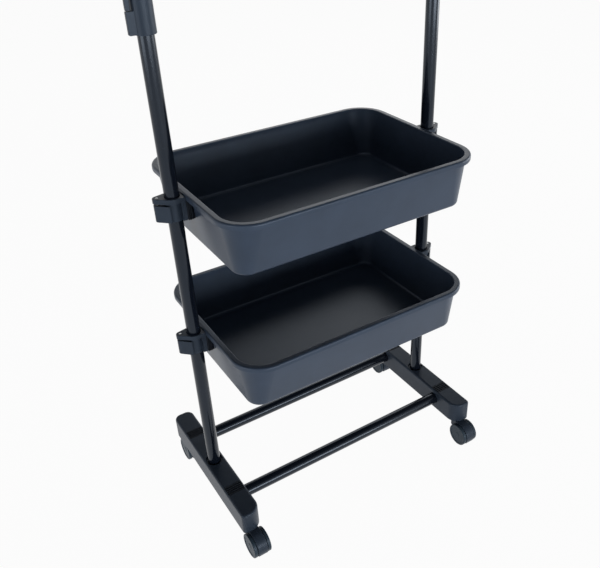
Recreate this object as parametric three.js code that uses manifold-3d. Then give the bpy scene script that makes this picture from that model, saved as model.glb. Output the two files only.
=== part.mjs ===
// A rolling salon trolley: two trays clamped to a pair of posts on castered feet,
// with a telescopic upper frame.
// Millimetres, +Z up, +X along the trays, -Y to the front.

import * as THREE from "three";
import { mergeVertices } from "three/addons/utils/BufferGeometryUtils.js";
import Module from "manifold-3d";

const wasm = await Module();
wasm.setup();

// ---------- driving dimensions ----------

// Gap between pieces that touch or slide in each other.
const CLEARANCE = 0.3;
// How far a cut runs past the surface that it opens, and a joined piece into its neighbour.
const OVERCUT = 1;

// Trays: a drafted tub with a turned-over rim. Heights are measured down from the top of the rim.
const TRAY_LENGTH = 400;
const TRAY_WIDTH = 288;
const TRAY_HEIGHT = 80.5;
const TRAY_WALL = 2.5;
const TRAY_RIM_CORNER = 49;
const TRAY_FLOOR_CORNER = 23;
const TRAY_END_DRAFT = 8;
const TRAY_SIDE_DRAFT = 13.5;
const TRAY_FLOOR_FILLET = 6;
const TRAY_INNER_FILLET = 5;
const RIM_OVERHANG = 7;
const RIM_DROP = 8;
const RIM_THICKNESS = 2.5;
const RIM_EDGE = 1;
const LOWER_RIM_HEIGHT = 345;
const TRAY_PITCH = 216;

// Posts: round steel tubes beside the middle of the trays' ends.
const POST_DIAMETER = 20;
const POST_WALL = 1.5;
const POST_TOP = 800;
const POST_TRAY_GAP = 2.5;

// Feet: long moulded bars, front to back.
const FOOT_LENGTH = 270;
const FOOT_WIDTH = 33;
const FOOT_HEIGHT = 38;
const FOOT_CORNER = 12;
const FOOT_EDGE = 2;
const FOOT_SKIN = 3.5;
const POST_SOCKET_DEPTH = 26;
const POST_RECESS_DIAMETER = 27;
const POST_RECESS_DEPTH = 3;

// Cross rods between the feet, each held by a screw under a ribbed cover.
const ROD_DIAMETER = 20;
const ROD_LIFT = 1.5;
const ROD_WALL = 1.5;
const ROD_OFFSET = 75;
const ROD_SOCKET_DEPTH = 23;
const COVER_LENGTH = 20;
const COVER_WIDTH = 28;
const COVER_THICKNESS = 3;
const COVER_GROOVES = 4;
const GROOVE_WIDTH = 1.4;
const GROOVE_DEPTH = 0.8;
const SCREW_DIAMETER = 4;
const SCREW_HEAD_DIAMETER = 8;
const SCREW_HEAD_HEIGHT = 2.4;

// Casters: a hood between twin wheels, trailing to the front.
const WHEEL_DIAMETER = 40;
const WHEEL_WIDTH = 5.6;
const WHEEL_EDGE = 1;
const WHEEL_DISH = 0.8;
const WHEEL_DISH_BORDER = 4;
const WHEEL_CLEARANCE = 2;
const HOOD_WIDTH = 16.5;
const HOOD_OVERSIZE = 0.8;
const HOOD_SIDE_GAP = 0.6;
const HOOD_SKIRT = 9;
const CASTER_TRAIL = 16.5;
const BOSS_DIAMETER = 16;
const STEM_DIAMETER = 8;
const STEM_LENGTH = 24;
const STEM_INSET = 10;
const AXLE_DIAMETER = 5;
const AXLE_SEAT = 3.6;

// Tray clamps: a collar round the post, a bracket on the tray's end and a cam lever on an upright pin.
const CLAMP_DROP = 3;
const CLAMP_HEIGHT = 33;
const CLAMP_WALL = 4.2;
const FLANGE_THICKNESS = 7;
const RING_WALL = 1.7;
const LUG_REACH = 9;
const LUG_BACK = 5;
const LUG_RADIUS = 6;
const LEVER_GAP = 2.5;
const LEVER_THICKNESS = 3;
const LEVER_TIP_ANGLE = -52;
const LEVER_HEEL_ANGLE = 150;
const HEEL_INSET = 0.5;
const CLAMP_BLOCK_EDGE = 6.2;
const RING_END_ANGLE = 70;
const BLOCK_START_ANGLE = 75;
const PIN_DIAMETER = 4;
const PIN_HEAD_DIAMETER = 6.4;
const PIN_HEAD_HEIGHT = 1;
const BRACKET_WIDTH = 31;
const BRACKET_RIBS = 3;
const RIB_THICKNESS = 1.3;
const RIB_HEIGHT = 1.2;

// Sleeves on top of the posts, with flip levers, and the telescopic upper frame.
const SLEEVE_WALL = 2.95;
const SLEEVE_OVERLAP = 40;
const SLEEVE_LENGTH = 80;
const SLEEVE_LUG_DEPTH = 7.75;
const SLEEVE_LUG_WIDTH = 5;
const SLEEVE_LUG_SHIFT = -4;
const SLEEVE_LUG_HEIGHT = 26;
const SLEEVE_LUG_LIFT = 1;
const EAR_THICKNESS = 2;
const EAR_HEIGHT = 16;
const FLIP_PIVOT_STANDOFF = 3.85;
const FLIP_PIVOT_DROP = 12;
const FLIP_BARREL_RADIUS = 3.4;
const FLIP_BARREL_TURN = 225;
const FLIP_THICKNESS = 5.5;
const FLIP_TIP_GAP = 0.5;
const TUBE_GAP = 0.5;
const TUBE_WALL = 1.5;
const TUBE_INSERTION = 220;
const CROSSBAR_LIFT = 140;
const ELBOW_WALL = 2.2;
const ELBOW_BEND = 22;
const ELBOW_SOCKET = 16;

// Facets round a full turn.
const FINE_SEGMENTS = 24;
const SMALL_SEGMENTS = 12;
const CORNER_SEGMENTS = 4;
const FILLET_SEGMENTS = 2;

// ---------- places worked out from the sizes ----------

const POST_X = TRAY_LENGTH / 2 + POST_TRAY_GAP + POST_DIAMETER / 2;
const WHEEL_RADIUS = WHEEL_DIAMETER / 2;
const HOOD_RADIUS = WHEEL_RADIUS + HOOD_OVERSIZE;
const FOOT_BOTTOM = WHEEL_DIAMETER + WHEEL_CLEARANCE;
const FOOT_TOP = FOOT_BOTTOM + FOOT_HEIGHT;
const ROD_HEIGHT = FOOT_BOTTOM + FOOT_HEIGHT / 2 + ROD_LIFT;
const STEM_Y = FOOT_LENGTH / 2 - STEM_INSET;
const CLAMP_RADIUS = POST_DIAMETER / 2 + CLEARANCE + CLAMP_WALL;
const LUG_OUT = POST_DIAMETER / 2 + LUG_REACH;
const SLEEVE_DIAMETER = POST_DIAMETER + 2 * (CLEARANCE + SLEEVE_WALL);
const SLEEVE_LUG_REACH = SLEEVE_DIAMETER / 2 + SLEEVE_LUG_DEPTH;
const FLIP_PIVOT_OUT = SLEEVE_DIAMETER / 2 + FLIP_PIVOT_STANDOFF;
const TUBE_DIAMETER = POST_DIAMETER - 2 * (POST_WALL + TUBE_GAP);
const ELBOW_DIAMETER = TUBE_DIAMETER + 2 * (CLEARANCE + ELBOW_WALL);
const UPPER_RIM_HEIGHT = LOWER_RIM_HEIGHT + TRAY_PITCH;
const SLEEVE_BOTTOM = POST_TOP - SLEEVE_OVERLAP;
const SLEEVE_TOP = SLEEVE_BOTTOM + SLEEVE_LENGTH;
const CROSSBAR_HEIGHT = POST_TOP + CROSSBAR_LIFT;

// The origin lies under the middle of the whole trolley, whose casters reach further forward than back.
const HALF_WIDTH = Math.max(TRAY_WIDTH, FOOT_LENGTH) / 2;
const FRONT_REACH = Math.max(STEM_Y + CASTER_TRAIL + HOOD_RADIUS, HALF_WIDTH);
const REAR_REACH = Math.max(STEM_Y - CASTER_TRAIL + HOOD_RADIUS, HALF_WIDTH);
const MIDDLE_SHIFT = (FRONT_REACH - REAR_REACH) / 2;

// ---------- materials ----------

function finish(color, roughness, metalness = 0) {
  return new THREE.MeshStandardMaterial({ color, roughness, metalness });
}

const TRAY_PLASTIC = finish(0x3b4452, 0.42);
const MOULDED_PLASTIC = finish(0x2c333d, 0.45);
const WHEEL_PLASTIC = finish(0x353d48, 0.5);
const BLACK_TUBE = finish(0x14161b, 0.18, 0.3);
const BRIGHT_STEEL = finish(0xb9bdc2, 0.3, 0.9);

// ---------- shape helpers ----------

const radians = THREE.MathUtils.degToRad;

const WELD_DISTANCE = 1e-4;

// A closed geometry as a solid for joining and cutting.
function solidFrom(geometry) {
  const bare = geometry.clone();
  bare.deleteAttribute("normal");
  bare.deleteAttribute("uv");
  const merged = mergeVertices(bare, WELD_DISTANCE);
  const vertProperties = new Float32Array(merged.attributes.position.array);
  const triVerts = new Uint32Array(merged.index.array);
  return new wasm.Manifold(new wasm.Mesh({ numProp: 3, vertProperties, triVerts }));
}

// A solid back as a geometry.
function geometryFrom(solid) {
  const mesh = solid.getMesh();
  const geometry = new THREE.BufferGeometry();
  const points = new Float32Array(mesh.vertProperties);
  geometry.setAttribute("position", new THREE.BufferAttribute(points, 3));
  geometry.setIndex(new THREE.BufferAttribute(new Uint32Array(mesh.triVerts), 1));
  geometry.computeVertexNormals();
  return geometry;
}

// One body joined with the added pieces and cut by the removed ones.
function combine(body, added, removed = []) {
  let solid = solidFrom(body);
  for (const piece of added) solid = solid.add(solidFrom(piece));
  for (const piece of removed) solid = solid.subtract(solidFrom(piece));
  return geometryFrom(solid);
}

// A box from its lowest to its highest corner.
function boxBetween(low, high) {
  const size = high.map((value, axis) => value - low[axis]);
  const middle = high.map((value, axis) => (value + low[axis]) / 2);
  return new THREE.BoxGeometry(...size).translate(...middle);
}

// An upright cylinder between two heights.
function upright(radius, bottom, top, x = 0, y = 0, segments = FINE_SEGMENTS) {
  const geometry = new THREE.CylinderGeometry(radius, radius, top - bottom, segments);
  return geometry.rotateX(Math.PI / 2).translate(x, y, (bottom + top) / 2);
}

// A cylinder along X or Y between two places.
function along(axis, radius, from, to, x, y, z, segments = SMALL_SEGMENTS) {
  const geometry = new THREE.CylinderGeometry(radius, radius, to - from, segments);
  const middle = (from + to) / 2;
  if (axis === "x") return geometry.rotateZ(Math.PI / 2).translate(middle, y, z);
  return geometry.translate(x, middle, z);
}

// A turned piece about Z. Each profile point is [radius, height].
function turned(profile, segments = FINE_SEGMENTS) {
  const points = profile.map(([radius, height]) => new THREE.Vector2(radius, height));
  return new THREE.LatheGeometry(points, segments).rotateX(Math.PI / 2);
}

// A tube about Z, open at both ends.
function tube(outer, inner, bottom, top) {
  return turned([[inner, bottom], [outer, bottom], [outer, top], [inner, top], [inner, bottom]]);
}

// A flat outline raised from one height to another.
function raised(outline, bottom, top) {
  const options = { depth: top - bottom, bevelEnabled: false, curveSegments: CORNER_SEGMENTS };
  return new THREE.ExtrudeGeometry(outline, options).translate(0, 0, bottom);
}

// An outline in the XZ plane carried along Y, centred on y = 0.
function carriedAlongY(outline, width) {
  return raised(outline, -width / 2, width / 2).rotateX(Math.PI / 2);
}

// A closed skin over a row of rings with equal numbers of points, with flat ends.
function skinned(rings) {
  const count = rings[0].length;
  const points = rings.flat();
  const index = [];
  for (let ring = 0; ring < rings.length - 1; ring += 1) {
    for (let i = 0; i < count; i += 1) {
      const a = ring * count + i;
      const b = ring * count + ((i + 1) % count);
      index.push(a, b, b + count, a, b + count, a + count);
    }
  }
  const last = (rings.length - 1) * count;
  for (let i = 1; i < count - 1; i += 1) {
    index.push(0, i + 1, i);
    index.push(last, last + i, last + i + 1);
  }
  const geometry = new THREE.BufferGeometry().setFromPoints(points);
  geometry.setIndex(index);
  geometry.computeVertexNormals();
  return geometry;
}

// One ring of a rounded rectangle, anticlockwise from +X.
function roundedRing(halfLength, halfWidth, corner, height) {
  const centres = [[1, 1], [-1, 1], [-1, -1], [1, -1]];
  const ring = [];
  centres.forEach(([sideX, sideY], quarter) => {
    for (let step = 0; step <= CORNER_SEGMENTS; step += 1) {
      const angle = ((quarter + step / CORNER_SEGMENTS) * Math.PI) / 2;
      const x = sideX * (halfLength - corner) + corner * Math.cos(angle);
      const y = sideY * (halfWidth - corner) + corner * Math.sin(angle);
      ring.push(new THREE.Vector3(x, y, height));
    }
  });
  return ring;
}

// A named mesh in its place.
function addMesh(parent, name, geometry, material, x = 0, y = 0, z = 0) {
  const mesh = new THREE.Mesh(geometry, material.clone());
  mesh.name = name;
  mesh.position.set(x, y, z);
  parent.add(mesh);
  return mesh;
}

// ---------- tray ----------

// How far the tray's outer skin lies inside the rim's outer edge, at a depth below the rim.
const WALL_DEPTH = TRAY_HEIGHT - RIM_DROP - TRAY_FLOOR_FILLET;

function endWallInset(depth) {
  return RIM_OVERHANG + (TRAY_END_DRAFT * (depth - RIM_DROP)) / WALL_DEPTH;
}

// A ring of the wall: share is 0 at the rim's root and 1 at the foot of the wall,
// and inset draws it inwards.
function wallRing(share, inset, height) {
  const rootCorner = TRAY_RIM_CORNER - RIM_OVERHANG;
  const corner = rootCorner + (TRAY_FLOOR_CORNER - rootCorner) * share - inset;
  const halfLength = TRAY_LENGTH / 2 - RIM_OVERHANG - TRAY_END_DRAFT * share - inset;
  const halfWidth = TRAY_WIDTH / 2 - RIM_OVERHANG - TRAY_SIDE_DRAFT * share - inset;
  return roundedRing(halfLength, halfWidth, corner, height);
}

// A ring of the rim, drawn in from its outer edge.
function rimRing(inset, height) {
  const halfLength = TRAY_LENGTH / 2 - inset;
  const halfWidth = TRAY_WIDTH / 2 - inset;
  return roundedRing(halfLength, halfWidth, TRAY_RIM_CORNER - inset, height);
}

function trayGeometry() {
  const rings = [];
  for (let step = 0; step <= FILLET_SEGMENTS; step += 1) {
    const angle = (step / FILLET_SEGMENTS) * (Math.PI / 2);
    const inset = TRAY_FLOOR_FILLET * (1 - Math.sin(angle));
    const rise = TRAY_FLOOR_FILLET * (1 - Math.cos(angle));
    rings.push(wallRing(1, inset, rise - TRAY_HEIGHT));
  }
  rings.push(wallRing(0, 0, -RIM_DROP));
  rings.push(wallRing(0, 0, -RIM_THICKNESS));
  rings.push(rimRing(RIM_THICKNESS, -RIM_THICKNESS));
  rings.push(rimRing(RIM_THICKNESS, -RIM_DROP));
  rings.push(rimRing(0, -RIM_DROP));
  rings.push(rimRing(0, -RIM_EDGE));
  rings.push(rimRing(RIM_EDGE, 0));
  rings.push(wallRing(0, TRAY_WALL - RIM_EDGE, 0));
  rings.push(wallRing(0, TRAY_WALL, -RIM_EDGE));
  rings.push(wallRing(0, TRAY_WALL, -RIM_DROP));
  for (let step = FILLET_SEGMENTS; step >= 0; step -= 1) {
    const angle = (step / FILLET_SEGMENTS) * (Math.PI / 2);
    const inset = TRAY_WALL + TRAY_INNER_FILLET * (1 - Math.sin(angle));
    const rise = TRAY_WALL + TRAY_INNER_FILLET * (1 - Math.cos(angle));
    rings.push(wallRing(1, inset, rise - TRAY_HEIGHT));
  }
  return skinned(rings);
}

// ---------- tray bracket and clamp ----------
// Built for the right-hand end: x runs outwards from the post's axis, and z down from the
// tray's rim.

const COLLAR_FACE = -(POST_DIAMETER / 2 + POST_TRAY_GAP - CLEARANCE);
const COLLAR_BORE = POST_DIAMETER / 2 + CLEARANCE;
const RING_RADIUS = COLLAR_BORE + RING_WALL;
const CLAMP_TOP = -CLAMP_DROP;
const CLAMP_BOTTOM = CLAMP_TOP - CLAMP_HEIGHT;
const LEVER_TOP = CLAMP_TOP - FLANGE_THICKNESS - LEVER_GAP;
const LUG_DISTANCE = Math.hypot(LUG_OUT, LUG_BACK);
const LUG_ANGLE = Math.atan2(LUG_BACK, LUG_OUT);

// The angle from the lug's direction at which a line touches both circles.
function beltAngle(postRadius, lugRadius) {
  return Math.acos((postRadius - lugRadius) / LUG_DISTANCE);
}

function roundHole(x, y, radius) {
  const hole = new THREE.Path();
  hole.absarc(x, y, radius, 0, 2 * Math.PI, true);
  return hole;
}

function flangeOutline() {
  const belt = beltAngle(CLAMP_RADIUS, LUG_RADIUS);
  const outline = new THREE.Shape();
  outline.moveTo(COLLAR_FACE, -CLAMP_RADIUS);
  outline.lineTo(0, -CLAMP_RADIUS);
  outline.absarc(0, 0, CLAMP_RADIUS, -Math.PI / 2, LUG_ANGLE - belt, false);
  outline.absarc(LUG_OUT, LUG_BACK, LUG_RADIUS, LUG_ANGLE - belt, LUG_ANGLE + belt, false);
  outline.absarc(0, 0, CLAMP_RADIUS, LUG_ANGLE + belt, Math.PI / 2, false);
  outline.lineTo(COLLAR_FACE, CLAMP_RADIUS);
  outline.closePath();
  return outline;
}

// Below the flange the collar is a thin ring at the front, where the lever wraps it,
// and full at the back.
function ringOutline() {
  const edgeAngle = -Math.PI + Math.acos(CLAMP_BLOCK_EDGE / RING_RADIUS);
  const outline = new THREE.Shape();
  outline.moveTo(COLLAR_FACE, -CLAMP_RADIUS);
  outline.lineTo(-CLAMP_BLOCK_EDGE, -CLAMP_RADIUS);
  outline.absarc(0, 0, RING_RADIUS, edgeAngle, radians(RING_END_ANGLE), false);
  outline.absarc(0, 0, CLAMP_RADIUS, radians(BLOCK_START_ANGLE), Math.PI / 2, false);
  outline.lineTo(COLLAR_FACE, CLAMP_RADIUS);
  outline.closePath();
  return outline;
}

function collarGeometry() {
  const flange = raised(flangeOutline(), CLAMP_TOP - FLANGE_THICKNESS, CLAMP_TOP);
  const ring = raised(ringOutline(), CLAMP_BOTTOM, CLAMP_TOP - FLANGE_THICKNESS / 2);
  const bore = upright(COLLAR_BORE, CLAMP_BOTTOM - OVERCUT, CLAMP_TOP + OVERCUT);
  const pinHole = upright(
    PIN_DIAMETER / 2 + CLEARANCE, CLAMP_BOTTOM, CLAMP_TOP + OVERCUT, LUG_OUT, LUG_BACK,
    SMALL_SEGMENTS);
  return combine(flange, [ring], [bore, pinHole]);
}

function leverGeometry() {
  const inner = RING_RADIUS + CLEARANCE;
  const outer = inner + LEVER_THICKNESS;
  const heel = LUG_RADIUS - HEEL_INSET;
  const belt = beltAngle(outer, heel);
  const tip = radians(LEVER_TIP_ANGLE);
  const middle = (inner + outer) / 2;
  const tipX = middle * Math.cos(tip);
  const tipY = middle * Math.sin(tip);
  const heelEnd = radians(LEVER_HEEL_ANGLE);
  const outline = new THREE.Shape();
  outline.absarc(0, 0, outer, tip, LUG_ANGLE - belt, false);
  outline.absarc(LUG_OUT, LUG_BACK, heel, LUG_ANGLE - belt, heelEnd, false);
  outline.absarc(0, 0, inner, LUG_ANGLE, tip, true);
  outline.absarc(tipX, tipY, LEVER_THICKNESS / 2, tip + Math.PI, tip, false);
  outline.holes.push(roundHole(LUG_OUT, LUG_BACK, PIN_DIAMETER / 2 + CLEARANCE));
  return raised(outline, CLAMP_BOTTOM, LEVER_TOP);
}

// The pin hangs from the flange and carries the lever on its head.
function clampPinGeometry() {
  const headTop = CLAMP_BOTTOM - CLEARANCE;
  return turned([
    [0, headTop - PIN_HEAD_HEIGHT],
    [PIN_HEAD_DIAMETER / 2, headTop - PIN_HEAD_HEIGHT],
    [PIN_HEAD_DIAMETER / 2, headTop],
    [PIN_DIAMETER / 2, headTop],
    [PIN_DIAMETER / 2, CLAMP_TOP],
    [0, CLAMP_TOP],
  ], SMALL_SEGMENTS);
}

function bracketGeometry() {
  const outer = TRAY_LENGTH / 2 - POST_X;
  const top = -RIM_DROP - CLEARANCE;
  const wallAt = (depth) => outer - endWallInset(depth) + CLEARANCE;
  const outline = new THREE.Shape();
  outline.moveTo(outer, top);
  outline.lineTo(wallAt(-top), top);
  outline.lineTo(wallAt(-CLAMP_BOTTOM), CLAMP_BOTTOM);
  outline.lineTo(outer, CLAMP_BOTTOM);
  outline.closePath();
  const block = carriedAlongY(outline, BRACKET_WIDTH);
  const ribs = [];
  const pitch = (outer - wallAt(-top)) / BRACKET_RIBS;
  for (let rib = 0; rib < BRACKET_RIBS; rib += 1) {
    const x = wallAt(-top) + pitch * (rib + 0.5);
    const half = RIB_THICKNESS / 2;
    const reach = BRACKET_WIDTH / 2 + RIB_HEIGHT;
    ribs.push(boxBetween([x - half, -reach, CLAMP_BOTTOM], [x + half, reach, top]));
  }
  return combine(block, ribs);
}

// ---------- foot, rods and covers ----------

const COVER_POCKET = COVER_THICKNESS + CLEARANCE;
const HEAD_SEAT = FOOT_TOP - COVER_POCKET - SCREW_HEAD_HEIGHT - 2 * CLEARANCE;
const SCREW_TIP = ROD_HEIGHT - ROD_DIAMETER / 2 - CLEARANCE - SCREW_DIAMETER;

function footOutline() {
  const halfLength = FOOT_LENGTH / 2 - FOOT_EDGE;
  const halfWidth = FOOT_WIDTH / 2 - FOOT_EDGE;
  const corner = FOOT_CORNER - FOOT_EDGE;
  const points = roundedRing(halfWidth, halfLength, corner, 0);
  return new THREE.Shape(points.map(({ x, y }) => new THREE.Vector2(x, y)));
}

// Built for the right-hand foot: the rods come in from the -X side.
function footGeometry() {
  const body = new THREE.ExtrudeGeometry(footOutline(), {
    depth: FOOT_HEIGHT - 2 * FOOT_EDGE,
    bevelThickness: FOOT_EDGE,
    bevelSize: FOOT_EDGE,
    bevelSegments: 2,
    steps: 1,
  }).translate(0, 0, FOOT_BOTTOM + FOOT_EDGE);
  const cuts = [
    upright(POST_RECESS_DIAMETER / 2, FOOT_TOP - POST_RECESS_DEPTH, FOOT_TOP + OVERCUT),
    upright(POST_DIAMETER / 2 + CLEARANCE, FOOT_TOP - POST_SOCKET_DEPTH, FOOT_TOP + OVERCUT),
  ];
  for (const side of [-1, 1]) {
    const rodY = side * ROD_OFFSET;
    const rodMouth = -FOOT_WIDTH / 2;
    const rodEnd = rodMouth + ROD_SOCKET_DEPTH;
    const rodBore = ROD_DIAMETER / 2 + CLEARANCE;
    const halfCover = COVER_LENGTH / 2;
    cuts.push(along(
      "x", rodBore, rodMouth - OVERCUT, rodEnd, 0, rodY, ROD_HEIGHT, FINE_SEGMENTS));
    cuts.push(boxBetween(
      [-COVER_WIDTH / 2, rodY - halfCover, FOOT_TOP - COVER_POCKET],
      [COVER_WIDTH / 2, rodY + halfCover, FOOT_TOP + OVERCUT]));
    cuts.push(upright(
      SCREW_HEAD_DIAMETER / 2 + CLEARANCE, HEAD_SEAT, FOOT_TOP, 0, rodY, SMALL_SEGMENTS));
    cuts.push(upright(
      SCREW_DIAMETER / 2 + CLEARANCE, SCREW_TIP - CLEARANCE, FOOT_TOP, 0, rodY, SMALL_SEGMENTS));
    cuts.push(upright(
      STEM_DIAMETER / 2 + CLEARANCE, FOOT_BOTTOM - OVERCUT,
      FOOT_BOTTOM + STEM_LENGTH + CLEARANCE, 0, side * STEM_Y, SMALL_SEGMENTS));
    // Hollows in the underside, between the seats of the post, rod and stem.
    const halfHollow = FOOT_WIDTH / 2 - FOOT_SKIN;
    const postWall = POST_DIAMETER / 2 + FOOT_SKIN;
    const rodWall = Math.max(halfCover, rodBore) + FOOT_SKIN;
    const stemWall = STEM_DIAMETER / 2 + FOOT_SKIN;
    const spans = [[postWall, ROD_OFFSET - rodWall], [ROD_OFFSET + rodWall, STEM_Y - stemWall]];
    for (const [near, far] of spans) {
      const ends = [side * near, side * far].sort((a, b) => a - b);
      cuts.push(boxBetween(
        [-halfHollow, ends[0], FOOT_BOTTOM - OVERCUT],
        [halfHollow, ends[1], FOOT_TOP - FOOT_SKIN]));
    }
  }
  return combine(body, [], cuts);
}

function rodGeometry() {
  const half = POST_X - FOOT_WIDTH / 2 + ROD_SOCKET_DEPTH - CLEARANCE;
  const body = tube(ROD_DIAMETER / 2, ROD_DIAMETER / 2 - ROD_WALL, -half, half);
  body.rotateY(Math.PI / 2);
  const holes = [-1, 1].map((side) => upright(
    SCREW_DIAMETER / 2 + CLEARANCE, -ROD_DIAMETER, ROD_DIAMETER, side * POST_X, 0, SMALL_SEGMENTS));
  return combine(body, [], holes);
}

function screwGeometry() {
  const headBottom = HEAD_SEAT + CLEARANCE;
  return turned([
    [0, SCREW_TIP],
    [SCREW_DIAMETER / 2, SCREW_TIP + SCREW_DIAMETER / 2],
    [SCREW_DIAMETER / 2, headBottom],
    [SCREW_HEAD_DIAMETER / 2, headBottom],
    [SCREW_HEAD_DIAMETER / 2, headBottom + SCREW_HEAD_HEIGHT / 2],
    [SCREW_HEAD_DIAMETER / 3, headBottom + SCREW_HEAD_HEIGHT],
    [0, headBottom + SCREW_HEAD_HEIGHT],
  ], SMALL_SEGMENTS);
}

function coverGeometry() {
  const halfLength = COVER_LENGTH / 2 - CLEARANCE;
  const halfWidth = COVER_WIDTH / 2 - CLEARANCE;
  const bottom = FOOT_TOP - COVER_THICKNESS;
  const body = boxBetween([-halfWidth, -halfLength, bottom], [halfWidth, halfLength, FOOT_TOP]);
  const grooves = [];
  const pitch = (2 * halfLength) / (COVER_GROOVES + 1);
  for (let groove = 1; groove <= COVER_GROOVES; groove += 1) {
    const y = -halfLength + pitch * groove;
    grooves.push(boxBetween(
      [-halfWidth - OVERCUT, y - GROOVE_WIDTH / 2, FOOT_TOP - GROOVE_DEPTH],
      [halfWidth + OVERCUT, y + GROOVE_WIDTH / 2, FOOT_TOP + OVERCUT]));
  }
  return combine(body, [], grooves);
}

// ---------- caster ----------
// Built about the swivel axis at x = y = 0, trailing to -Y.

const WHEEL_FACE = HOOD_WIDTH / 2 + HOOD_SIDE_GAP;

function hoodGeometry() {
  const bossReach = BOSS_DIAMETER / 2;
  const shoulder = WHEEL_RADIUS + HOOD_RADIUS;
  const skirtAngle = Math.asin((HOOD_SKIRT - WHEEL_RADIUS) / HOOD_RADIUS);
  // Seen from the side: x is the way from the axle towards the boss, y is the height.
  const outline = new THREE.Shape();
  outline.moveTo(CASTER_TRAIL + bossReach, shoulder);
  outline.lineTo(0, shoulder);
  outline.absarc(0, WHEEL_RADIUS, HOOD_RADIUS, Math.PI / 2, Math.PI - skirtAngle, false);
  outline.lineTo(WHEEL_RADIUS / 2, HOOD_SKIRT);
  outline.lineTo(CASTER_TRAIL + bossReach, WHEEL_RADIUS + bossReach);
  outline.closePath();
  const web = carriedAlongY(outline, HOOD_WIDTH).rotateZ(Math.PI / 2);
  web.translate(0, -CASTER_TRAIL, 0);
  const seat = FOOT_BOTTOM - CLEARANCE;
  // The thrust boss stands just clear of the wheels' tops.
  const boss = upright(bossReach, WHEEL_DIAMETER + CLEARANCE, seat);
  const stem = upright(STEM_DIAMETER / 2, shoulder, FOOT_BOTTOM + STEM_LENGTH, 0, 0, SMALL_SEGMENTS);
  const axleHole = along(
    "x", AXLE_DIAMETER / 2 + CLEARANCE, -HOOD_WIDTH, HOOD_WIDTH, 0, -CASTER_TRAIL, WHEEL_RADIUS);
  return combine(web, [boss, stem], [axleHole]);
}

// The wheel's axis is Z, with its outer face up; a blind bore takes the axle.
function wheelGeometry() {
  const bore = AXLE_DIAMETER / 2 + CLEARANCE;
  const dish = WHEEL_RADIUS - WHEEL_DISH_BORDER;
  return turned([
    [0, AXLE_SEAT],
    [bore, AXLE_SEAT],
    [bore, 0],
    [WHEEL_RADIUS - WHEEL_EDGE, 0],
    [WHEEL_RADIUS, WHEEL_EDGE],
    [WHEEL_RADIUS, WHEEL_WIDTH - WHEEL_EDGE],
    [WHEEL_RADIUS - WHEEL_EDGE, WHEEL_WIDTH],
    [dish, WHEEL_WIDTH],
    [dish - WHEEL_DISH, WHEEL_WIDTH - WHEEL_DISH],
    [0, WHEEL_WIDTH - WHEEL_DISH],
  ]);
}

function axleGeometry() {
  const half = WHEEL_FACE + AXLE_SEAT - CLEARANCE;
  return along("x", AXLE_DIAMETER / 2, -half, half, 0, 0, 0);
}

// ---------- sleeve, flip lever and upper frame ----------
// Built for the right-hand post: x runs outwards from the post's axis, and z is the height above the floor.

const FLIP_PIVOT_HEIGHT = SLEEVE_TOP - FLIP_PIVOT_DROP;
const LUG_TOP = SLEEVE_BOTTOM + SLEEVE_LUG_LIFT + SLEEVE_LUG_HEIGHT;
const EAR_INSIDE = SLEEVE_LUG_WIDTH / 2 + CLEARANCE;

function sleeveGeometry() {
  const outer = SLEEVE_DIAMETER / 2;
  const postBore = POST_DIAMETER / 2 + CLEARANCE;
  const tubeBore = TUBE_DIAMETER / 2 + CLEARANCE;
  const step = POST_TOP + CLEARANCE;
  const body = turned([
    [postBore, SLEEVE_BOTTOM],
    [outer, SLEEVE_BOTTOM],
    [outer, SLEEVE_TOP],
    [tubeBore, SLEEVE_TOP],
    [tubeBore, step],
    [postBore, step],
    [postBore, SLEEVE_BOTTOM],
  ]);
  const fin = (middle, thickness, bottom, top) => {
    const widest = Math.abs(middle) + thickness / 2;
    const root = Math.sqrt(outer ** 2 - widest ** 2) - OVERCUT;
    return boxBetween(
      [root, middle - thickness / 2, bottom],
      [SLEEVE_LUG_REACH, middle + thickness / 2, top]);
  };
  const lug = fin(SLEEVE_LUG_SHIFT, SLEEVE_LUG_WIDTH, SLEEVE_BOTTOM + SLEEVE_LUG_LIFT, LUG_TOP);
  const ears = [-1, 1].map((side) => fin(
    SLEEVE_LUG_SHIFT + side * (EAR_INSIDE + EAR_THICKNESS / 2), EAR_THICKNESS,
    FLIP_PIVOT_HEIGHT - EAR_HEIGHT / 2, FLIP_PIVOT_HEIGHT + EAR_HEIGHT / 2));
  const bore = upright(postBore, SLEEVE_BOTTOM - OVERCUT, step);
  const upperBore = upright(tubeBore, step - OVERCUT, SLEEVE_TOP + OVERCUT);
  const pinHole = along(
    "y", PIN_DIAMETER / 2 + CLEARANCE, -SLEEVE_DIAMETER, SLEEVE_DIAMETER,
    FLIP_PIVOT_OUT, 0, FLIP_PIVOT_HEIGHT);
  return combine(body, [lug, ...ears], [bore, upperBore, pinHole]);
}

function flipLeverGeometry() {
  const outside = FLIP_PIVOT_OUT + FLIP_BARREL_RADIUS;
  const inside = outside - FLIP_THICKNESS;
  const bottom = LUG_TOP + FLIP_TIP_GAP;
  const barrelEnd = radians(FLIP_BARREL_TURN);
  const outline = new THREE.Shape();
  outline.absarc(FLIP_PIVOT_OUT, FLIP_PIVOT_HEIGHT, FLIP_BARREL_RADIUS, 0, barrelEnd, false);
  outline.lineTo(inside, FLIP_PIVOT_HEIGHT - 2 * FLIP_BARREL_RADIUS);
  outline.lineTo(inside, bottom);
  outline.lineTo(outside, bottom);
  outline.closePath();
  const pinBore = PIN_DIAMETER / 2 + CLEARANCE;
  outline.holes.push(roundHole(FLIP_PIVOT_OUT, FLIP_PIVOT_HEIGHT, pinBore));
  return carriedAlongY(outline, SLEEVE_LUG_WIDTH).translate(0, SLEEVE_LUG_SHIFT, 0);
}

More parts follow.
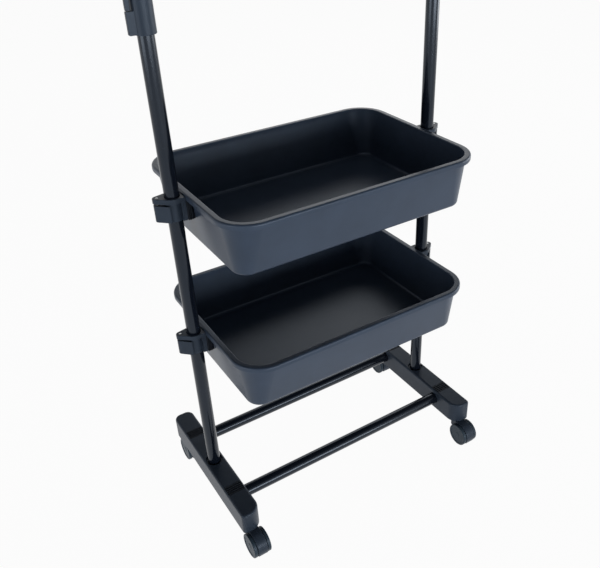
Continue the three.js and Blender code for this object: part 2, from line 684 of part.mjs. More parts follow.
function flipPinGeometry() {
  const half = EAR_INSIDE + EAR_THICKNESS;
  return along(
    "y", PIN_DIAMETER / 2, SLEEVE_LUG_SHIFT - half, SLEEVE_LUG_SHIFT + half,
    FLIP_PIVOT_OUT, 0, FLIP_PIVOT_HEIGHT);
}

// The elbow turns from the post's axis to the crossbar, towards -X.
function elbowGeometry() {
  const radius = ELBOW_DIAMETER / 2;
  const stations = [{ x: 0, z: CROSSBAR_HEIGHT - ELBOW_BEND - ELBOW_SOCKET, turn: 0 }];
  for (let step = 0; step <= CORNER_SEGMENTS; step += 1) {
    const turn = (step / CORNER_SEGMENTS) * (Math.PI / 2);
    const x = ELBOW_BEND * (Math.cos(turn) - 1);
    const z = CROSSBAR_HEIGHT - ELBOW_BEND + ELBOW_BEND * Math.sin(turn);
    stations.push({ x, z, turn });
  }
  stations.push({ x: -ELBOW_BEND - ELBOW_SOCKET, z: CROSSBAR_HEIGHT, turn: Math.PI / 2 });
  const rings = stations.map(({ x, z, turn }) => {
    const ring = [];
    for (let i = 0; i < SMALL_SEGMENTS; i += 1) {
      const angle = (i / SMALL_SEGMENTS) * 2 * Math.PI;
      const out = radius * Math.cos(angle);
      ring.push(new THREE.Vector3(
        x + out * Math.cos(turn), radius * Math.sin(angle), z + out * Math.sin(turn)));
    }
    return ring;
  });
  const bore = TUBE_DIAMETER / 2 + CLEARANCE;
  const lowerEnd = CROSSBAR_HEIGHT - ELBOW_BEND - ELBOW_SOCKET;
  const innerEnd = -ELBOW_BEND - ELBOW_SOCKET;
  const tubeSocket = upright(bore, lowerEnd - OVERCUT, lowerEnd + ELBOW_SOCKET);
  const barSocket = along(
    "x", bore, innerEnd - OVERCUT, innerEnd + ELBOW_SOCKET, 0, 0, CROSSBAR_HEIGHT, FINE_SEGMENTS);
  return combine(skinned(rings), [], [tubeSocket, barSocket]);
}

// ---------- assembly ----------

const trolley = new THREE.Group();
trolley.position.y = MIDDLE_SHIFT;

// A group at each post. The left-hand one is the mirror image of the right-hand one.
function sideGroup(sign) {
  const group = new THREE.Group();
  group.position.x = sign * POST_X;
  group.scale.x = sign;
  trolley.add(group);
  return group;
}

function addCaster(side, name, y) {
  addMesh(side, `caster_hood_${name}`, hoodGeometry(), MOULDED_PLASTIC, 0, y, 0);
  const axleY = y - CASTER_TRAIL;
  addMesh(side, `caster_axle_${name}`, axleGeometry(), BRIGHT_STEEL, 0, axleY, WHEEL_RADIUS);
  for (const [place, sign] of [["inner", -1], ["outer", 1]]) {
    const face = sign * WHEEL_FACE;
    const mesh = addMesh(
      side, `wheel_${place}_${name}`, wheelGeometry(), WHEEL_PLASTIC, face, axleY, WHEEL_RADIUS);
    mesh.rotation.y = (sign * Math.PI) / 2;
  }
}

for (const [hand, sign] of [["left", -1], ["right", 1]]) {
  const side = sideGroup(sign);

  addMesh(side, `foot_${hand}`, footGeometry(), MOULDED_PLASTIC);
  for (const [end, direction] of [["front", -1], ["rear", 1]]) {
    const rodY = direction * ROD_OFFSET;
    addMesh(side, `screw_cover_${end}_${hand}`, coverGeometry(), MOULDED_PLASTIC, 0, rodY, 0);
    addMesh(side, `rod_screw_${end}_${hand}`, screwGeometry(), BRIGHT_STEEL, 0, rodY, 0);
    addCaster(side, `${end}_${hand}`, direction * STEM_Y);
  }

  const postBottom = FOOT_TOP - POST_SOCKET_DEPTH + CLEARANCE;
  const post = tube(POST_DIAMETER / 2, POST_DIAMETER / 2 - POST_WALL, postBottom, POST_TOP);
  addMesh(side, `post_${hand}`, post, BLACK_TUBE);

  for (const [level, rim] of [["lower", LOWER_RIM_HEIGHT], ["upper", UPPER_RIM_HEIGHT]]) {
    addMesh(side, `tray_bracket_${level}_${hand}`, bracketGeometry(), MOULDED_PLASTIC, 0, 0, rim);
    addMesh(side, `clamp_collar_${level}_${hand}`, collarGeometry(), MOULDED_PLASTIC, 0, 0, rim);
    addMesh(side, `clamp_lever_${level}_${hand}`, leverGeometry(), MOULDED_PLASTIC, 0, 0, rim);
    const pin = clampPinGeometry();
    addMesh(side, `clamp_pin_${level}_${hand}`, pin, BRIGHT_STEEL, LUG_OUT, LUG_BACK, rim);
  }

  addMesh(side, `sleeve_${hand}`, sleeveGeometry(), MOULDED_PLASTIC);
  addMesh(side, `flip_lever_${hand}`, flipLeverGeometry(), MOULDED_PLASTIC);
  addMesh(side, `flip_pin_${hand}`, flipPinGeometry(), BRIGHT_STEEL);
  const tubeBottom = POST_TOP - TUBE_INSERTION;
  const tubeTop = CROSSBAR_HEIGHT - ELBOW_BEND - CLEARANCE;
  const innerTube = tube(
    TUBE_DIAMETER / 2, TUBE_DIAMETER / 2 - TUBE_WALL, tubeBottom, tubeTop);
  addMesh(side, `inner_tube_${hand}`, innerTube, BLACK_TUBE);
  addMesh(side, `elbow_${hand}`, elbowGeometry(), MOULDED_PLASTIC);
}

for (const [end, direction] of [["front", -1], ["rear", 1]]) {
  addMesh(trolley, `cross_rod_${end}`, rodGeometry(), BLACK_TUBE, 0, direction * ROD_OFFSET, ROD_HEIGHT);
}

for (const [level, rim] of [["lower", LOWER_RIM_HEIGHT], ["upper", UPPER_RIM_HEIGHT]]) {
  addMesh(trolley, `tray_${level}`, trayGeometry(), TRAY_PLASTIC, 0, 0, rim);
}

const barHalf = POST_X - ELBOW_BEND - CLEARANCE;
const bar = tube(TUBE_DIAMETER / 2, TUBE_DIAMETER / 2 - TUBE_WALL, -barHalf, barHalf);
addMesh(trolley, "crossbar", bar.rotateY(Math.PI / 2), BLACK_TUBE, 0, 0, CROSSBAR_HEIGHT);

export default trolley;
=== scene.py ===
# A rolling salon trolley: two deep trays clamped to a pair of gloss black posts, which stand in
# moulded feet on twin-wheel casters. A telescopic frame with a crossbar rises from the posts.

import math

import bmesh
import bpy
from mathutils import Matrix, Vector


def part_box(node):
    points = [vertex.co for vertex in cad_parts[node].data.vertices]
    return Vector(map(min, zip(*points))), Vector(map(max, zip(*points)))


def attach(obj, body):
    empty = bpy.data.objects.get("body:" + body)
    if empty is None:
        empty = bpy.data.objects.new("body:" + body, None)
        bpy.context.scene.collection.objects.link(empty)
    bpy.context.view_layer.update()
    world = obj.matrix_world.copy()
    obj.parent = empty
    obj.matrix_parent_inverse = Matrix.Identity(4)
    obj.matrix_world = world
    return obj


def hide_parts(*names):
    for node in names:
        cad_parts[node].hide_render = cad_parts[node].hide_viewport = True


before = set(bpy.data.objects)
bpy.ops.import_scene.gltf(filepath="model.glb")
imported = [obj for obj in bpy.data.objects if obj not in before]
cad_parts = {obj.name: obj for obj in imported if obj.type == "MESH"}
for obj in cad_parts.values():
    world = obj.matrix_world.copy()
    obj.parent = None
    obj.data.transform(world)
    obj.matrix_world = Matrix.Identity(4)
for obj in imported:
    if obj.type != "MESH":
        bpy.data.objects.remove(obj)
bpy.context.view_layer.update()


# ---------- feet ----------
# Two long bars moulded in anthracite nylon, hollow underneath. Each stands on two casters, and has
# a socket for its post in the middle, a bore for each cross rod and a pocket for each screw cover.

MM = 0.001
EDGE_STEPS = 4
OVERCUT = 2  # how far a cutter reaches past the face that it cuts
WELD_DISTANCE = 1e-6
SHARPEST_MITRE = 0.5
SMOOTH_ANGLE = 38
FINE_EDGE = 0.3
FOOT_CORNER = 12
FOOT_INNER_CORNER = 20
FOOT_OUTER_CORNER = 6
FOOT_TOP_EDGE = 3.6
FOOT_BOTTOM_EDGE = 1
FOOT_SKIN = 3.5
HOLLOW_CORNER = 3
HOLLOW_EDGE = 1
POST_BORE = 10.3
POST_SOCKET_DEPTH = 26
RECESS_RADIUS = 13.5
RECESS_DEPTH = 3
RECESS_EDGE = 0.8
ROD_BORE = 10.3
ROD_SOCKET_DEPTH = 23
ROD_SOCKET_EDGE = 0.5
POCKET_LENGTH = 20
POCKET_WIDTH = 28
POCKET_DEPTH = 3.3
POCKET_CORNER = 1
POCKET_EDGE = 0.2
SCREW_BORE = 4.3
SCREW_BORE_DEPTH = 6.3
STEM_INSET = 10
STEM_BORE = 4.3
STEM_BORE_DEPTH = 24.3
STEM_BORE_EDGE = 0.4


def arc(x, y, radius, start, end, steps=12):
    """Points along an arc, from one angle to another in degrees."""
    angles = [math.radians(start + (end - start) * i / steps) for i in range(steps + 1)]
    return [(x + radius * math.cos(a), y + radius * math.sin(a)) for a in angles]


def rounded(corners, steps=6):
    """A closed outline. Each corner is (x, y, radius), and a radius of 0 leaves it sharp."""
    outline = []
    for i, (x, y, radius) in enumerate(corners):
        here = Vector((x, y))
        back = (Vector(corners[i - 1][:2]) - here).normalized()
        ahead = (Vector(corners[(i + 1) % len(corners)][:2]) - here).normalized()
        if radius == 0:
            outline.append((x, y))
            continue
        half = back.angle(ahead) / 2
        centre = here + (back + ahead).normalized() * radius / math.sin(half)
        first = here + back * radius / math.tan(half) - centre
        last = here + ahead * radius / math.tan(half) - centre
        start = math.atan2(first.y, first.x)
        turn = math.atan2(last.y, last.x) - start
        turn = (turn + math.pi) % (2 * math.pi) - math.pi
        outline += arc(
            centre.x, centre.y, radius, math.degrees(start), math.degrees(start + turn), steps)
    return outline


def bar_outline(half_x, half_y, radius, steps=10):
    """A rectangle with rounded corners, anticlockwise."""
    return rounded([(half_x, half_y, radius), (-half_x, half_y, radius),
                    (-half_x, -half_y, radius), (half_x, -half_y, radius)], steps)


def drawn_in(outline, distance):
    """An anticlockwise outline moved inwards."""
    moved = []
    for i, point in enumerate(outline):
        here = Vector(point)
        along = (here - Vector(outline[i - 1])).normalized()
        onward = (Vector(outline[(i + 1) % len(outline)]) - here).normalized()
        left = Vector((-along.y, along.x))
        next_left = Vector((-onward.y, onward.x))
        spread = max(1 + left.dot(next_left), SHARPEST_MITRE)
        moved.append(tuple(here + (left + next_left) * distance / spread))
    return moved


def skin(rings, joined=False):
    """A closed mesh over a row of rings. Its ends are capped, or meet each other if joined."""
    shape = bmesh.new()
    rows = [[shape.verts.new(point) for point in ring] for ring in rings]
    pairs = list(zip(rows, rows[1:]))
    if joined:
        pairs.append((rows[-1], rows[0]))
    else:
        shape.faces.new(rows[0])
        shape.faces.new(rows[-1])
    for low, high in pairs:
        for i in range(len(low)):
            j = (i + 1) % len(low)
            shape.faces.new((low[i], low[j], high[j], high[i]))
    bmesh.ops.remove_doubles(shape, verts=shape.verts, dist=WELD_DISTANCE)
    bmesh.ops.recalc_face_normals(shape, faces=shape.faces)
    mesh = bpy.data.meshes.new("blank")
    shape.to_mesh(mesh)
    shape.free()
    thing = bpy.data.objects.new("blank", mesh)
    bpy.context.scene.collection.objects.link(thing)
    return thing


def slab(outline, low, high, top=0.5, bottom=0.5, steps=EDGE_STEPS):
    """An upright slab of an outline, with its top and bottom edges rounded."""
    turns = [math.pi / 2 * i / steps for i in range(steps + 1)]
    levels = [(bottom * (1 - math.sin(a)), low + bottom * (1 - math.cos(a))) for a in turns]
    levels += [(top * (1 - math.sin(a)), high - top * (1 - math.cos(a))) for a in turns[::-1]]
    return skin([[(x, y, z) for x, y in drawn_in(outline, inset)] for inset, z in levels])


def turned(profile, segments=48, joined=False):
    """A piece turned about Z. The profile is (radius, height), and closes on itself if joined."""
    angles = [2 * math.pi * i / segments for i in range(segments)]
    return skin([[(r * math.cos(a), r * math.sin(a), z) for a in angles] for r, z in profile],
                joined)


def hole(radius, low, high, mouth=0.6, both=False, segments=32):
    """A cutter for a round hole whose upper edge is eased, or both edges if asked."""
    wide = radius + mouth
    top = arc(wide, high - mouth, mouth, 180, 90, EDGE_STEPS) + [(wide, high + OVERCUT)]
    bottom = [(radius, low)]
    if both:
        bottom = [(wide, low - OVERCUT)]
        bottom += arc(wide, low + mouth, mouth, 270, 180, EDGE_STEPS)
    return turned([(0, bottom[0][1])] + bottom + top + [(0, high + OVERCUT)], segments)


def moved(thing, x=0, y=0, z=0, turn=0, about="Z"):
    """The thing turned by degrees about an axis and then moved."""
    thing.data.transform(
        Matrix.Translation((x, y, z)) @ Matrix.Rotation(math.radians(turn), 4, about))
    return thing


def worked(thing, operation, tools):
    """The thing with each tool cut from it or joined to it."""
    for tool in tools:
        step = thing.modifiers.new("step", "BOOLEAN")
        step.operation = operation
        step.solver = "EXACT"
        step.object = tool
        graph = bpy.context.evaluated_depsgraph_get()
        mesh = bpy.data.meshes.new_from_object(thing.evaluated_get(graph))
        thing.modifiers.clear()
        thing.data = mesh
        bpy.data.objects.remove(tool)
    return thing


def cut(thing, *tools):
    """The thing with the tools cut from it."""
    return worked(thing, "DIFFERENCE", tools)


def joined_to(thing, *tools):
    """The thing and the tools as one piece."""
    return worked(thing, "UNION", tools)


def seated(thing, name, body, material, nodes, place=(0, 0, 0), side=1):
    """A finished piece: scaled from millimetres, put in its place, smoothed and tied to its body.
    A side of -1 mirrors it for the left-hand half."""
    mesh = thing.data
    mesh.transform(Matrix.Translation(place) @ Matrix.Diagonal((side * MM, MM, MM, 1)))
    if side < 0:
        mesh.flip_normals()
    mesh.name = thing.name = name
    mesh.materials.clear()
    mesh.materials.append(material)
    mesh.polygons.foreach_set("use_smooth", [True] * len(mesh.polygons))
    mesh.set_sharp_from_angle(angle=math.radians(SMOOTH_ANGLE))
    even = thing.modifiers.new("even shading", "WEIGHTED_NORMAL")
    even.keep_sharp = True
    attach(thing, body)
    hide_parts(*nodes)
    return thing


MOULDING_COLOUR = (0.024, 0.034, 0.051, 1)
WORN_MOULDING = (0.06, 0.075, 0.1, 1)
DUST_COLOUR = (0.14, 0.15, 0.17, 1)
COOL_GLOSS = (0.72, 0.84, 1, 1)
FINE_SHARE = 0.4
MOTTLE = 0.1
MOTTLE_TONES = (0.3, 0.7)
PATCH_SCALE = 70.0
PATCH_TONES = (0.42, 0.68)
WORN_EDGES = (0.53, 0.62)
SCUFF_SCALE = 400.0
SCUFF_TURN = (0.3, 0.5, 0.7)
SCUFF_STRETCH = (1.0, 14.0, 5.0)
SCUFF_TONES = (0.66, 0.74)
SCUFF_DULLING = 0.12
DUST_SCALE = 420.0
DUST_TONES = (0.5, 0.75)
DUST_SLOPES = (0.6, 1.0)
DUST_DULLING = 0.5
GRAIN_STRENGTH = 0.6


def node(tree, kind, **settings):
    """A shader node with its settings."""
    made = tree.nodes.new(kind)
    for key, value in settings.items():
        setattr(made, key, value)
    return made


def new_group(name, inputs, outputs):
    """An empty shader node group with its input values and its outputs' kinds."""
    tree = bpy.data.node_groups.new(name, "ShaderNodeTree")
    for label, value in inputs.items():
        tree.interface.new_socket(
            name=label, in_out="INPUT", socket_type="NodeSocketFloat").default_value = value
    for label in outputs:
        tree.interface.new_socket(name=label, in_out="OUTPUT", socket_type="NodeSocketFloat")
    return tree, tree.nodes.new("NodeGroupInput"), tree.nodes.new("NodeGroupOutput")


def maths(tree, operation, a, b=0.0, c=0.0):
    """One step of arithmetic on sockets or numbers."""
    step = node(tree, "ShaderNodeMath", operation=operation)
    for slot, value in enumerate((a, b, c)):
        if isinstance(value, (int, float)):
            step.inputs[slot].default_value = value
        else:
            tree.links.new(value, step.inputs[slot])
    return step.outputs[0]


def noise(tree, where, scale, detail=3.0, roughness=0.55):
    """A cloudy value over the surface, with a scale that is a number or a socket."""
    made = node(tree, "ShaderNodeTexNoise")
    tree.links.new(where, made.inputs["Vector"])
    if isinstance(scale, (int, float)):
        made.inputs["Scale"].default_value = scale
    else:
        tree.links.new(scale, made.inputs["Scale"])
    made.inputs["Detail"].default_value = detail
    made.inputs["Roughness"].default_value = roughness
    return made.outputs["Fac"]


def squeezed(tree, value, low, high, to_low=0.0, to_high=1.0):
    """A value brought from one range into another and held there."""
    made = node(tree, "ShaderNodeMapRange", interpolation_type="SMOOTHSTEP")
    tree.links.new(value, made.inputs["Value"])
    for label, number in (("From Min", low), ("From Max", high),
                          ("To Min", to_low), ("To Max", to_high)):
        if isinstance(number, (int, float)):
            made.inputs[label].default_value = number
        else:
            tree.links.new(number, made.inputs[label])
    return made.outputs["Result"]


def moulded_grain_group():
    """The spark-eroded skin of a moulding: fine grain over slow flow marks."""
    tree, given, out = new_group(
        "moulded_grain",
        {"Grain Size": 0.8, "Flow Size": 60.0, "Roughness": 0.4, "Roughness Spread": 0.1},
        ["Height", "Tone", "Roughness"])
    where = node(tree, "ShaderNodeTexCoord").outputs["Object"]
    fine_scale = maths(tree, "DIVIDE", 1 / MM, given.outputs["Grain Size"])
    fine = noise(tree, where, fine_scale, detail=2.0)
    flow_scale = maths(tree, "DIVIDE", 1 / MM, given.outputs["Flow Size"])
    flow = noise(tree, where, flow_scale, detail=4.0, roughness=0.6)
    tree.links.new(fine, out.inputs["Height"])
    tree.links.new(flow, out.inputs["Tone"])
    both = maths(tree, "ADD", maths(tree, "MULTIPLY", fine, FINE_SHARE),
                 maths(tree, "MULTIPLY", flow, 1 - FINE_SHARE))
    drift = maths(tree, "SUBTRACT", both, 0.5)
    rough = maths(tree, "MULTIPLY_ADD", drift, given.outputs["Roughness Spread"],
                  given.outputs["Roughness"])
    tree.links.new(rough, out.inputs["Roughness"])
    return tree


def handling_wear_group():
    """What use leaves behind: rubbed edges, fine scuffs and a little dust on upward faces."""
    tree, given, out = new_group(
        "handling_wear",
        {"Edge Wear": 0.5, "Scuff Size": 9.0, "Dust": 0.1},
        ["Edge", "Scuffs", "Dust"])
    where = node(tree, "ShaderNodeTexCoord").outputs["Object"]
    surface = node(tree, "ShaderNodeNewGeometry")
    patches = noise(tree, where, PATCH_SCALE, detail=4.0, roughness=0.65)
    patches = squeezed(tree, patches, *PATCH_TONES)
    edge = squeezed(tree, surface.outputs["Pointiness"], *WORN_EDGES)
    edge = maths(tree, "MULTIPLY", maths(tree, "MULTIPLY", edge, patches),
                 given.outputs["Edge Wear"])
    tree.links.new(edge, out.inputs["Edge"])
    stretched = node(tree, "ShaderNodeMapping")
    stretched.inputs["Rotation"].default_value = SCUFF_TURN
    stretched.inputs["Scale"].default_value = SCUFF_STRETCH
    tree.links.new(where, stretched.inputs["Vector"])
    scale = maths(tree, "DIVIDE", SCUFF_SCALE, given.outputs["Scuff Size"])
    scuffs = noise(tree, stretched.outputs["Vector"], scale, detail=2.0)
    scuffs = squeezed(tree, scuffs, *SCUFF_TONES)
    tree.links.new(maths(tree, "MULTIPLY", scuffs, patches), out.inputs["Scuffs"])
    facing = node(tree, "ShaderNodeSeparateXYZ")
    tree.links.new(surface.outputs["Normal"], facing.inputs[0])
    up = squeezed(tree, facing.outputs["Z"], *DUST_SLOPES)
    specks = noise(tree, where, DUST_SCALE, detail=3.0, roughness=0.7)
    specks = squeezed(tree, specks, *DUST_TONES)
    dust = maths(tree, "MULTIPLY", maths(tree, "MULTIPLY", up, specks), given.outputs["Dust"])
    tree.links.new(dust, out.inputs["Dust"])
    return tree


COLOUR_SOCKETS = (6, 7)  # the Mix node's two colour inputs
COLOUR_RESULT = 2


def mixed(tree, share, first, second):
    """A colour between two, each a colour or a socket."""
    made = node(tree, "ShaderNodeMix", data_type="RGBA")
    tree.links.new(share, made.inputs["Factor"])
    for slot, colour in zip(COLOUR_SOCKETS, (first, second)):
        if isinstance(colour, tuple):
            made.inputs[slot].default_value = colour
        else:
            tree.links.new(colour, made.inputs[slot])
    return made.outputs[COLOUR_RESULT]


def darker(colour, share):
    """The colour with its three channels scaled."""
    return tuple(channel * share for channel in colour[:3]) + (1,)


GRAIN = moulded_grain_group()
WEAR = handling_wear_group()


def cool_shader(name, gloss):
    """A new material whose gloss is as strong as asked and slightly blue."""
    material = bpy.data.materials.new(name)
    material.use_nodes = True
    shader = material.node_tree.nodes["Principled BSDF"]
    shader.inputs["Specular IOR Level"].default_value = gloss
    shader.inputs["Specular Tint"].default_value = COOL_GLOSS
    return material, material.node_tree, shader


def placed(tree, group, **values):
    """A node group placed in a material. Each value is named for its input, as in grain_size."""
    made = node(tree, "ShaderNodeGroup", node_tree=group)
    for label, value in values.items():
        made.inputs[label.replace("_", " ").title()].default_value = value
    return made


def dressed(tree, shader, colour, rough, height, strength, depth):
    """The shader given its colour, its roughness and a bump some millimetres deep."""
    tree.links.new(colour, shader.inputs["Base Color"])
    tree.links.new(rough, shader.inputs["Roughness"])
    bump = node(tree, "ShaderNodeBump")
    bump.inputs["Strength"].default_value = strength
    bump.inputs["Distance"].default_value = depth * MM
    tree.links.new(height, bump.inputs["Height"])
    tree.links.new(bump.outputs["Normal"], shader.inputs["Normal"])


def moulded_plastic(name, colour, worn, gloss, roughness, grain, depth, edge_wear, dust):
    """A pigmented moulding: mottled colour, grained gloss, rubbed edges and faint scuffs."""
    material, tree, shader = cool_shader(name, gloss)
    skin_grain = placed(tree, GRAIN, grain_size=grain, roughness=roughness)
    use = placed(tree, WEAR, edge_wear=edge_wear, dust=dust)
    tone = squeezed(tree, skin_grain.outputs["Tone"], *MOTTLE_TONES)
    base = mixed(tree, tone, darker(colour, 1 - MOTTLE), darker(colour, 1 + MOTTLE))
    base = mixed(tree, use.outputs["Edge"], base, worn)
    base = mixed(tree, use.outputs["Dust"], base, DUST_COLOUR)
    scuffed = maths(tree, "MULTIPLY_ADD", use.outputs["Scuffs"], SCUFF_DULLING,
                    skin_grain.outputs["Roughness"])
    rough = maths(tree, "MULTIPLY_ADD", use.outputs["Dust"], DUST_DULLING, scuffed)
    dressed(tree, shader, base, rough, skin_grain.outputs["Height"], GRAIN_STRENGTH, depth)
    return material


moulding = moulded_plastic("moulding", MOULDING_COLOUR, WORN_MOULDING, gloss=0.22,
                           roughness=0.38, grain=0.9, depth=0.05, edge_wear=0.35, dust=0.05)


def middle(node_name):
    """The middle of the node's box."""
    low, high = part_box(node_name)
    return (low + high) / 2


def size_of(node_name):
    """The node's size in millimetres."""
    low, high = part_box(node_name)
    return (high - low) / MM


def top_middle(node_name):
    """The middle of the node's top."""
    top = middle(node_name)
    top.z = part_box(node_name)[1].z
    return top


def foot(node_name):
    """The right-hand foot about its post, with its top at zero. The rods come in from -X."""
    width, length, height = size_of(node_name)
    rod = middle("cross_rod_rear")
    rod_y = (rod.y - middle(node_name).y) / MM
    rod_z = rod.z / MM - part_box(node_name)[1].z / MM
    outline = rounded([(width / 2, length / 2, FOOT_CORNER),
                       (-width / 2, length / 2, FOOT_CORNER),
                       (-width / 2, -length / 2, FOOT_INNER_CORNER),
                       (width / 2, -length / 2, FOOT_OUTER_CORNER)], 12)
    body = slab(outline, -height, 0, FOOT_TOP_EDGE, FOOT_BOTTOM_EDGE, 6)
    cuts = [hole(RECESS_RADIUS, -RECESS_DEPTH, 0, RECESS_EDGE, segments=64),
            hole(POST_BORE, -POST_SOCKET_DEPTH, -RECESS_DEPTH, FINE_EDGE, segments=64)]
    stem_y = length / 2 - STEM_INSET
    hollows = ((POST_BORE + FOOT_SKIN, rod_y - ROD_BORE - FOOT_SKIN),
               (rod_y + ROD_BORE + FOOT_SKIN, stem_y - STEM_BORE - FOOT_SKIN))
    for end in (-1, 1):
        cuts.append(moved(hole(ROD_BORE, -ROD_SOCKET_DEPTH, 0, ROD_SOCKET_EDGE),
                          -width / 2, end * rod_y, rod_z, -90, "Y"))
        pocket = slab(bar_outline(POCKET_WIDTH / 2, POCKET_LENGTH / 2, POCKET_CORNER, EDGE_STEPS),
                      -POCKET_DEPTH, OVERCUT, 0, POCKET_EDGE)
        cuts.append(moved(pocket, 0, end * rod_y))
        cuts.append(moved(hole(SCREW_BORE, -SCREW_BORE_DEPTH, -POCKET_DEPTH, FINE_EDGE,
                               segments=24), 0, end * rod_y))
        stem = hole(STEM_BORE, -STEM_BORE_DEPTH, 0, STEM_BORE_EDGE, segments=24)
        cuts.append(moved(moved(stem, turn=180, about="X"), 0, end * stem_y, -height))
        for near, far in hollows:
            outline = bar_outline(width / 2 - FOOT_SKIN, (far - near) / 2, HOLLOW_CORNER,
                                  EDGE_STEPS)
            hollow = slab(outline, -height - OVERCUT, -FOOT_SKIN, HOLLOW_EDGE, 0)
            cuts.append(moved(hollow, 0, end * (near + far) / 2))
    return cut(body, *cuts)


for hand, side in (("left", -1), ("right", 1)):
    name = f"foot_{hand}"
    seated(foot(name), f"{hand}_foot", "base", moulding, [name], top_middle(name),
           side)


# ---------- cross rods ----------
# Two round steel tubes in gloss black powder coat, which hold the feet apart. Each end sits in a
# foot's bore, where a screw passes down through it.

TUBE_BLACK = (0.004, 0.006, 0.011, 1)
TUBE_SCRATCHED = (0.014, 0.018, 0.026, 1)
TUBE_EDGE = 0.5
TUBE_STRENGTH = 0.25
TUBE_PEEL = 0.008
TUBE_DULLING = 0.15
ROD_WALL = 1.5
ROD_SCREW_BORE = 2.3
ROD_SCREW_EDGE = 0.2


def gloss_black():
    """Powder coat over steel: a hard gloss with slight orange peel and hairline scratches."""
    material, tree, shader = cool_shader("black_tube", gloss=0.42)
    coat = placed(tree, GRAIN, grain_size=3.5, flow_size=90, roughness=0.16,
                  roughness_spread=0.08)
    use = placed(tree, WEAR, scuff_size=5, dust=0.03)
    base = mixed(tree, use.outputs["Scuffs"], TUBE_BLACK, TUBE_SCRATCHED)
    base = mixed(tree, use.outputs["Dust"], base, DUST_COLOUR)
    rough = maths(tree, "MULTIPLY_ADD", use.outputs["Scuffs"], TUBE_DULLING,
                  coat.outputs["Roughness"])
    dressed(tree, shader, base, rough, coat.outputs["Height"], TUBE_STRENGTH, TUBE_PEEL)
    return material


black_tube = gloss_black()


def tube(radius, wall, half_length, segments=64):
    """A tube about Z with its cut ends eased."""
    bore = radius - wall
    corners = [(bore, -half_length, FINE_EDGE), (radius, -half_length, TUBE_EDGE),
               (radius, half_length, TUBE_EDGE), (bore, half_length, FINE_EDGE)]
    return turned(rounded(corners, 3), segments, joined=True)


for end in ("front", "rear"):
    name = f"cross_rod_{end}"
    size = size_of(name)
    rod = moved(tube(size.z / 2, ROD_WALL, size.x / 2), turn=90, about="Y")
    screw_x = middle("foot_right").x / MM
    for x in (-screw_x, screw_x):
        cut(rod, moved(hole(ROD_SCREW_BORE, -size.z, size.z, ROD_SCREW_EDGE, segments=20), x))
    seated(rod, f"{end}_cross_rod", "base", black_tube, [name], middle(name))


# ---------- rod screws ----------
# Zinc-plated pan-head screws with a cross recess. Each goes down through a foot into its rod.

STEEL_COLOUR = (0.5, 0.52, 0.54, 1)
STEEL_DULL = (0.32, 0.33, 0.34, 1)
SCREW_RADIUS = 2
SCREW_HEAD_RADIUS = 4
SCREW_HEAD_HEIGHT = 2.4
SCREW_HEAD_EDGE = 1.6
CROSS_BLADE = 0.9
CROSS_REACH = 2
CROSS_DEPTH = 1.5
CROSS_CORNER = 0.2
CLOUD_TONES = (0.35, 0.65)
STEEL_STRENGTH = 0.4
TURNING_DEPTH = 0.02


def bright_steel():
    """Zinc plate on turned steel: fine turning lines and cloudy dull patches."""
    material = bpy.data.materials.new("pin_steel")
    material.use_nodes = True
    tree = material.node_tree
    shader = tree.nodes["Principled BSDF"]
    shader.inputs["Metallic"].default_value = 1
    plate = placed(tree, GRAIN, grain_size=0.35, flow_size=4, roughness=0.3,
                   roughness_spread=0.25)
    use = placed(tree, WEAR, scuff_size=1.5)
    cloud = squeezed(tree, plate.outputs["Tone"], *CLOUD_TONES)
    base = mixed(tree, cloud, STEEL_DULL, STEEL_COLOUR)
    base = mixed(tree, use.outputs["Scuffs"], base, STEEL_DULL)
    dressed(tree, shader, base, plate.outputs["Roughness"], plate.outputs["Height"],
            STEEL_STRENGTH, TURNING_DEPTH)
    return material


pin_steel = bright_steel()


def pan_head_screw(length):
    """The screw with its top at zero."""
    neck = -SCREW_HEAD_HEIGHT
    profile = [(0, -length), (SCREW_RADIUS, -length + SCREW_RADIUS), (SCREW_RADIUS, neck),
               (SCREW_HEAD_RADIUS, neck)]
    profile += arc(SCREW_HEAD_RADIUS - SCREW_HEAD_EDGE, -SCREW_HEAD_EDGE, SCREW_HEAD_EDGE,
                   0, 90, 6) + [(0, 0)]
    blade = bar_outline(CROSS_REACH, CROSS_BLADE / 2, CROSS_CORNER, 3)
    cross = [moved(slab(blade, -CROSS_DEPTH, 1, 0, FINE_EDGE), turn=turn) for turn in (0, 90)]
    return cut(turned(profile, 32), *cross)


for hand in ("left", "right"):
    for end in ("front", "rear"):
        name = f"rod_screw_{end}_{hand}"
        seated(pan_head_screw(size_of(name).z), f"{end}_{hand}_rod_screw", "base",
               pin_steel, [name], top_middle(name))


# ---------- screw covers ----------
# Small moulded inserts, pressed into the feet over the rod screws. Their tops have rounded ribs
# across the foot.

COVER_RIBS = 5
GROOVE_DEPTH = 1.4
GROOVE_WIDTH = 1.8
GROOVE_CORNER = 0.2
RIB_CORNER = 0.35
COVER_COLOUR = (0.004, 0.006, 0.01, 1)
WORN_COVER = (0.02, 0.028, 0.04, 1)

cover_plastic = moulded_plastic("cover_plastic", COVER_COLOUR, WORN_COVER, gloss=0.2,
                                roughness=0.5, grain=0.7, depth=0.04, edge_wear=0.5, dust=0.03)


def along_x(thing):
    """The slab laid over, so that its outline lies in Y and Z and its depth runs along X."""
    thing.data.transform(Matrix(((0, 0, 1, 0), (1, 0, 0, 0), (0, 1, 0, 0), (0, 0, 0, 1))))
    return thing


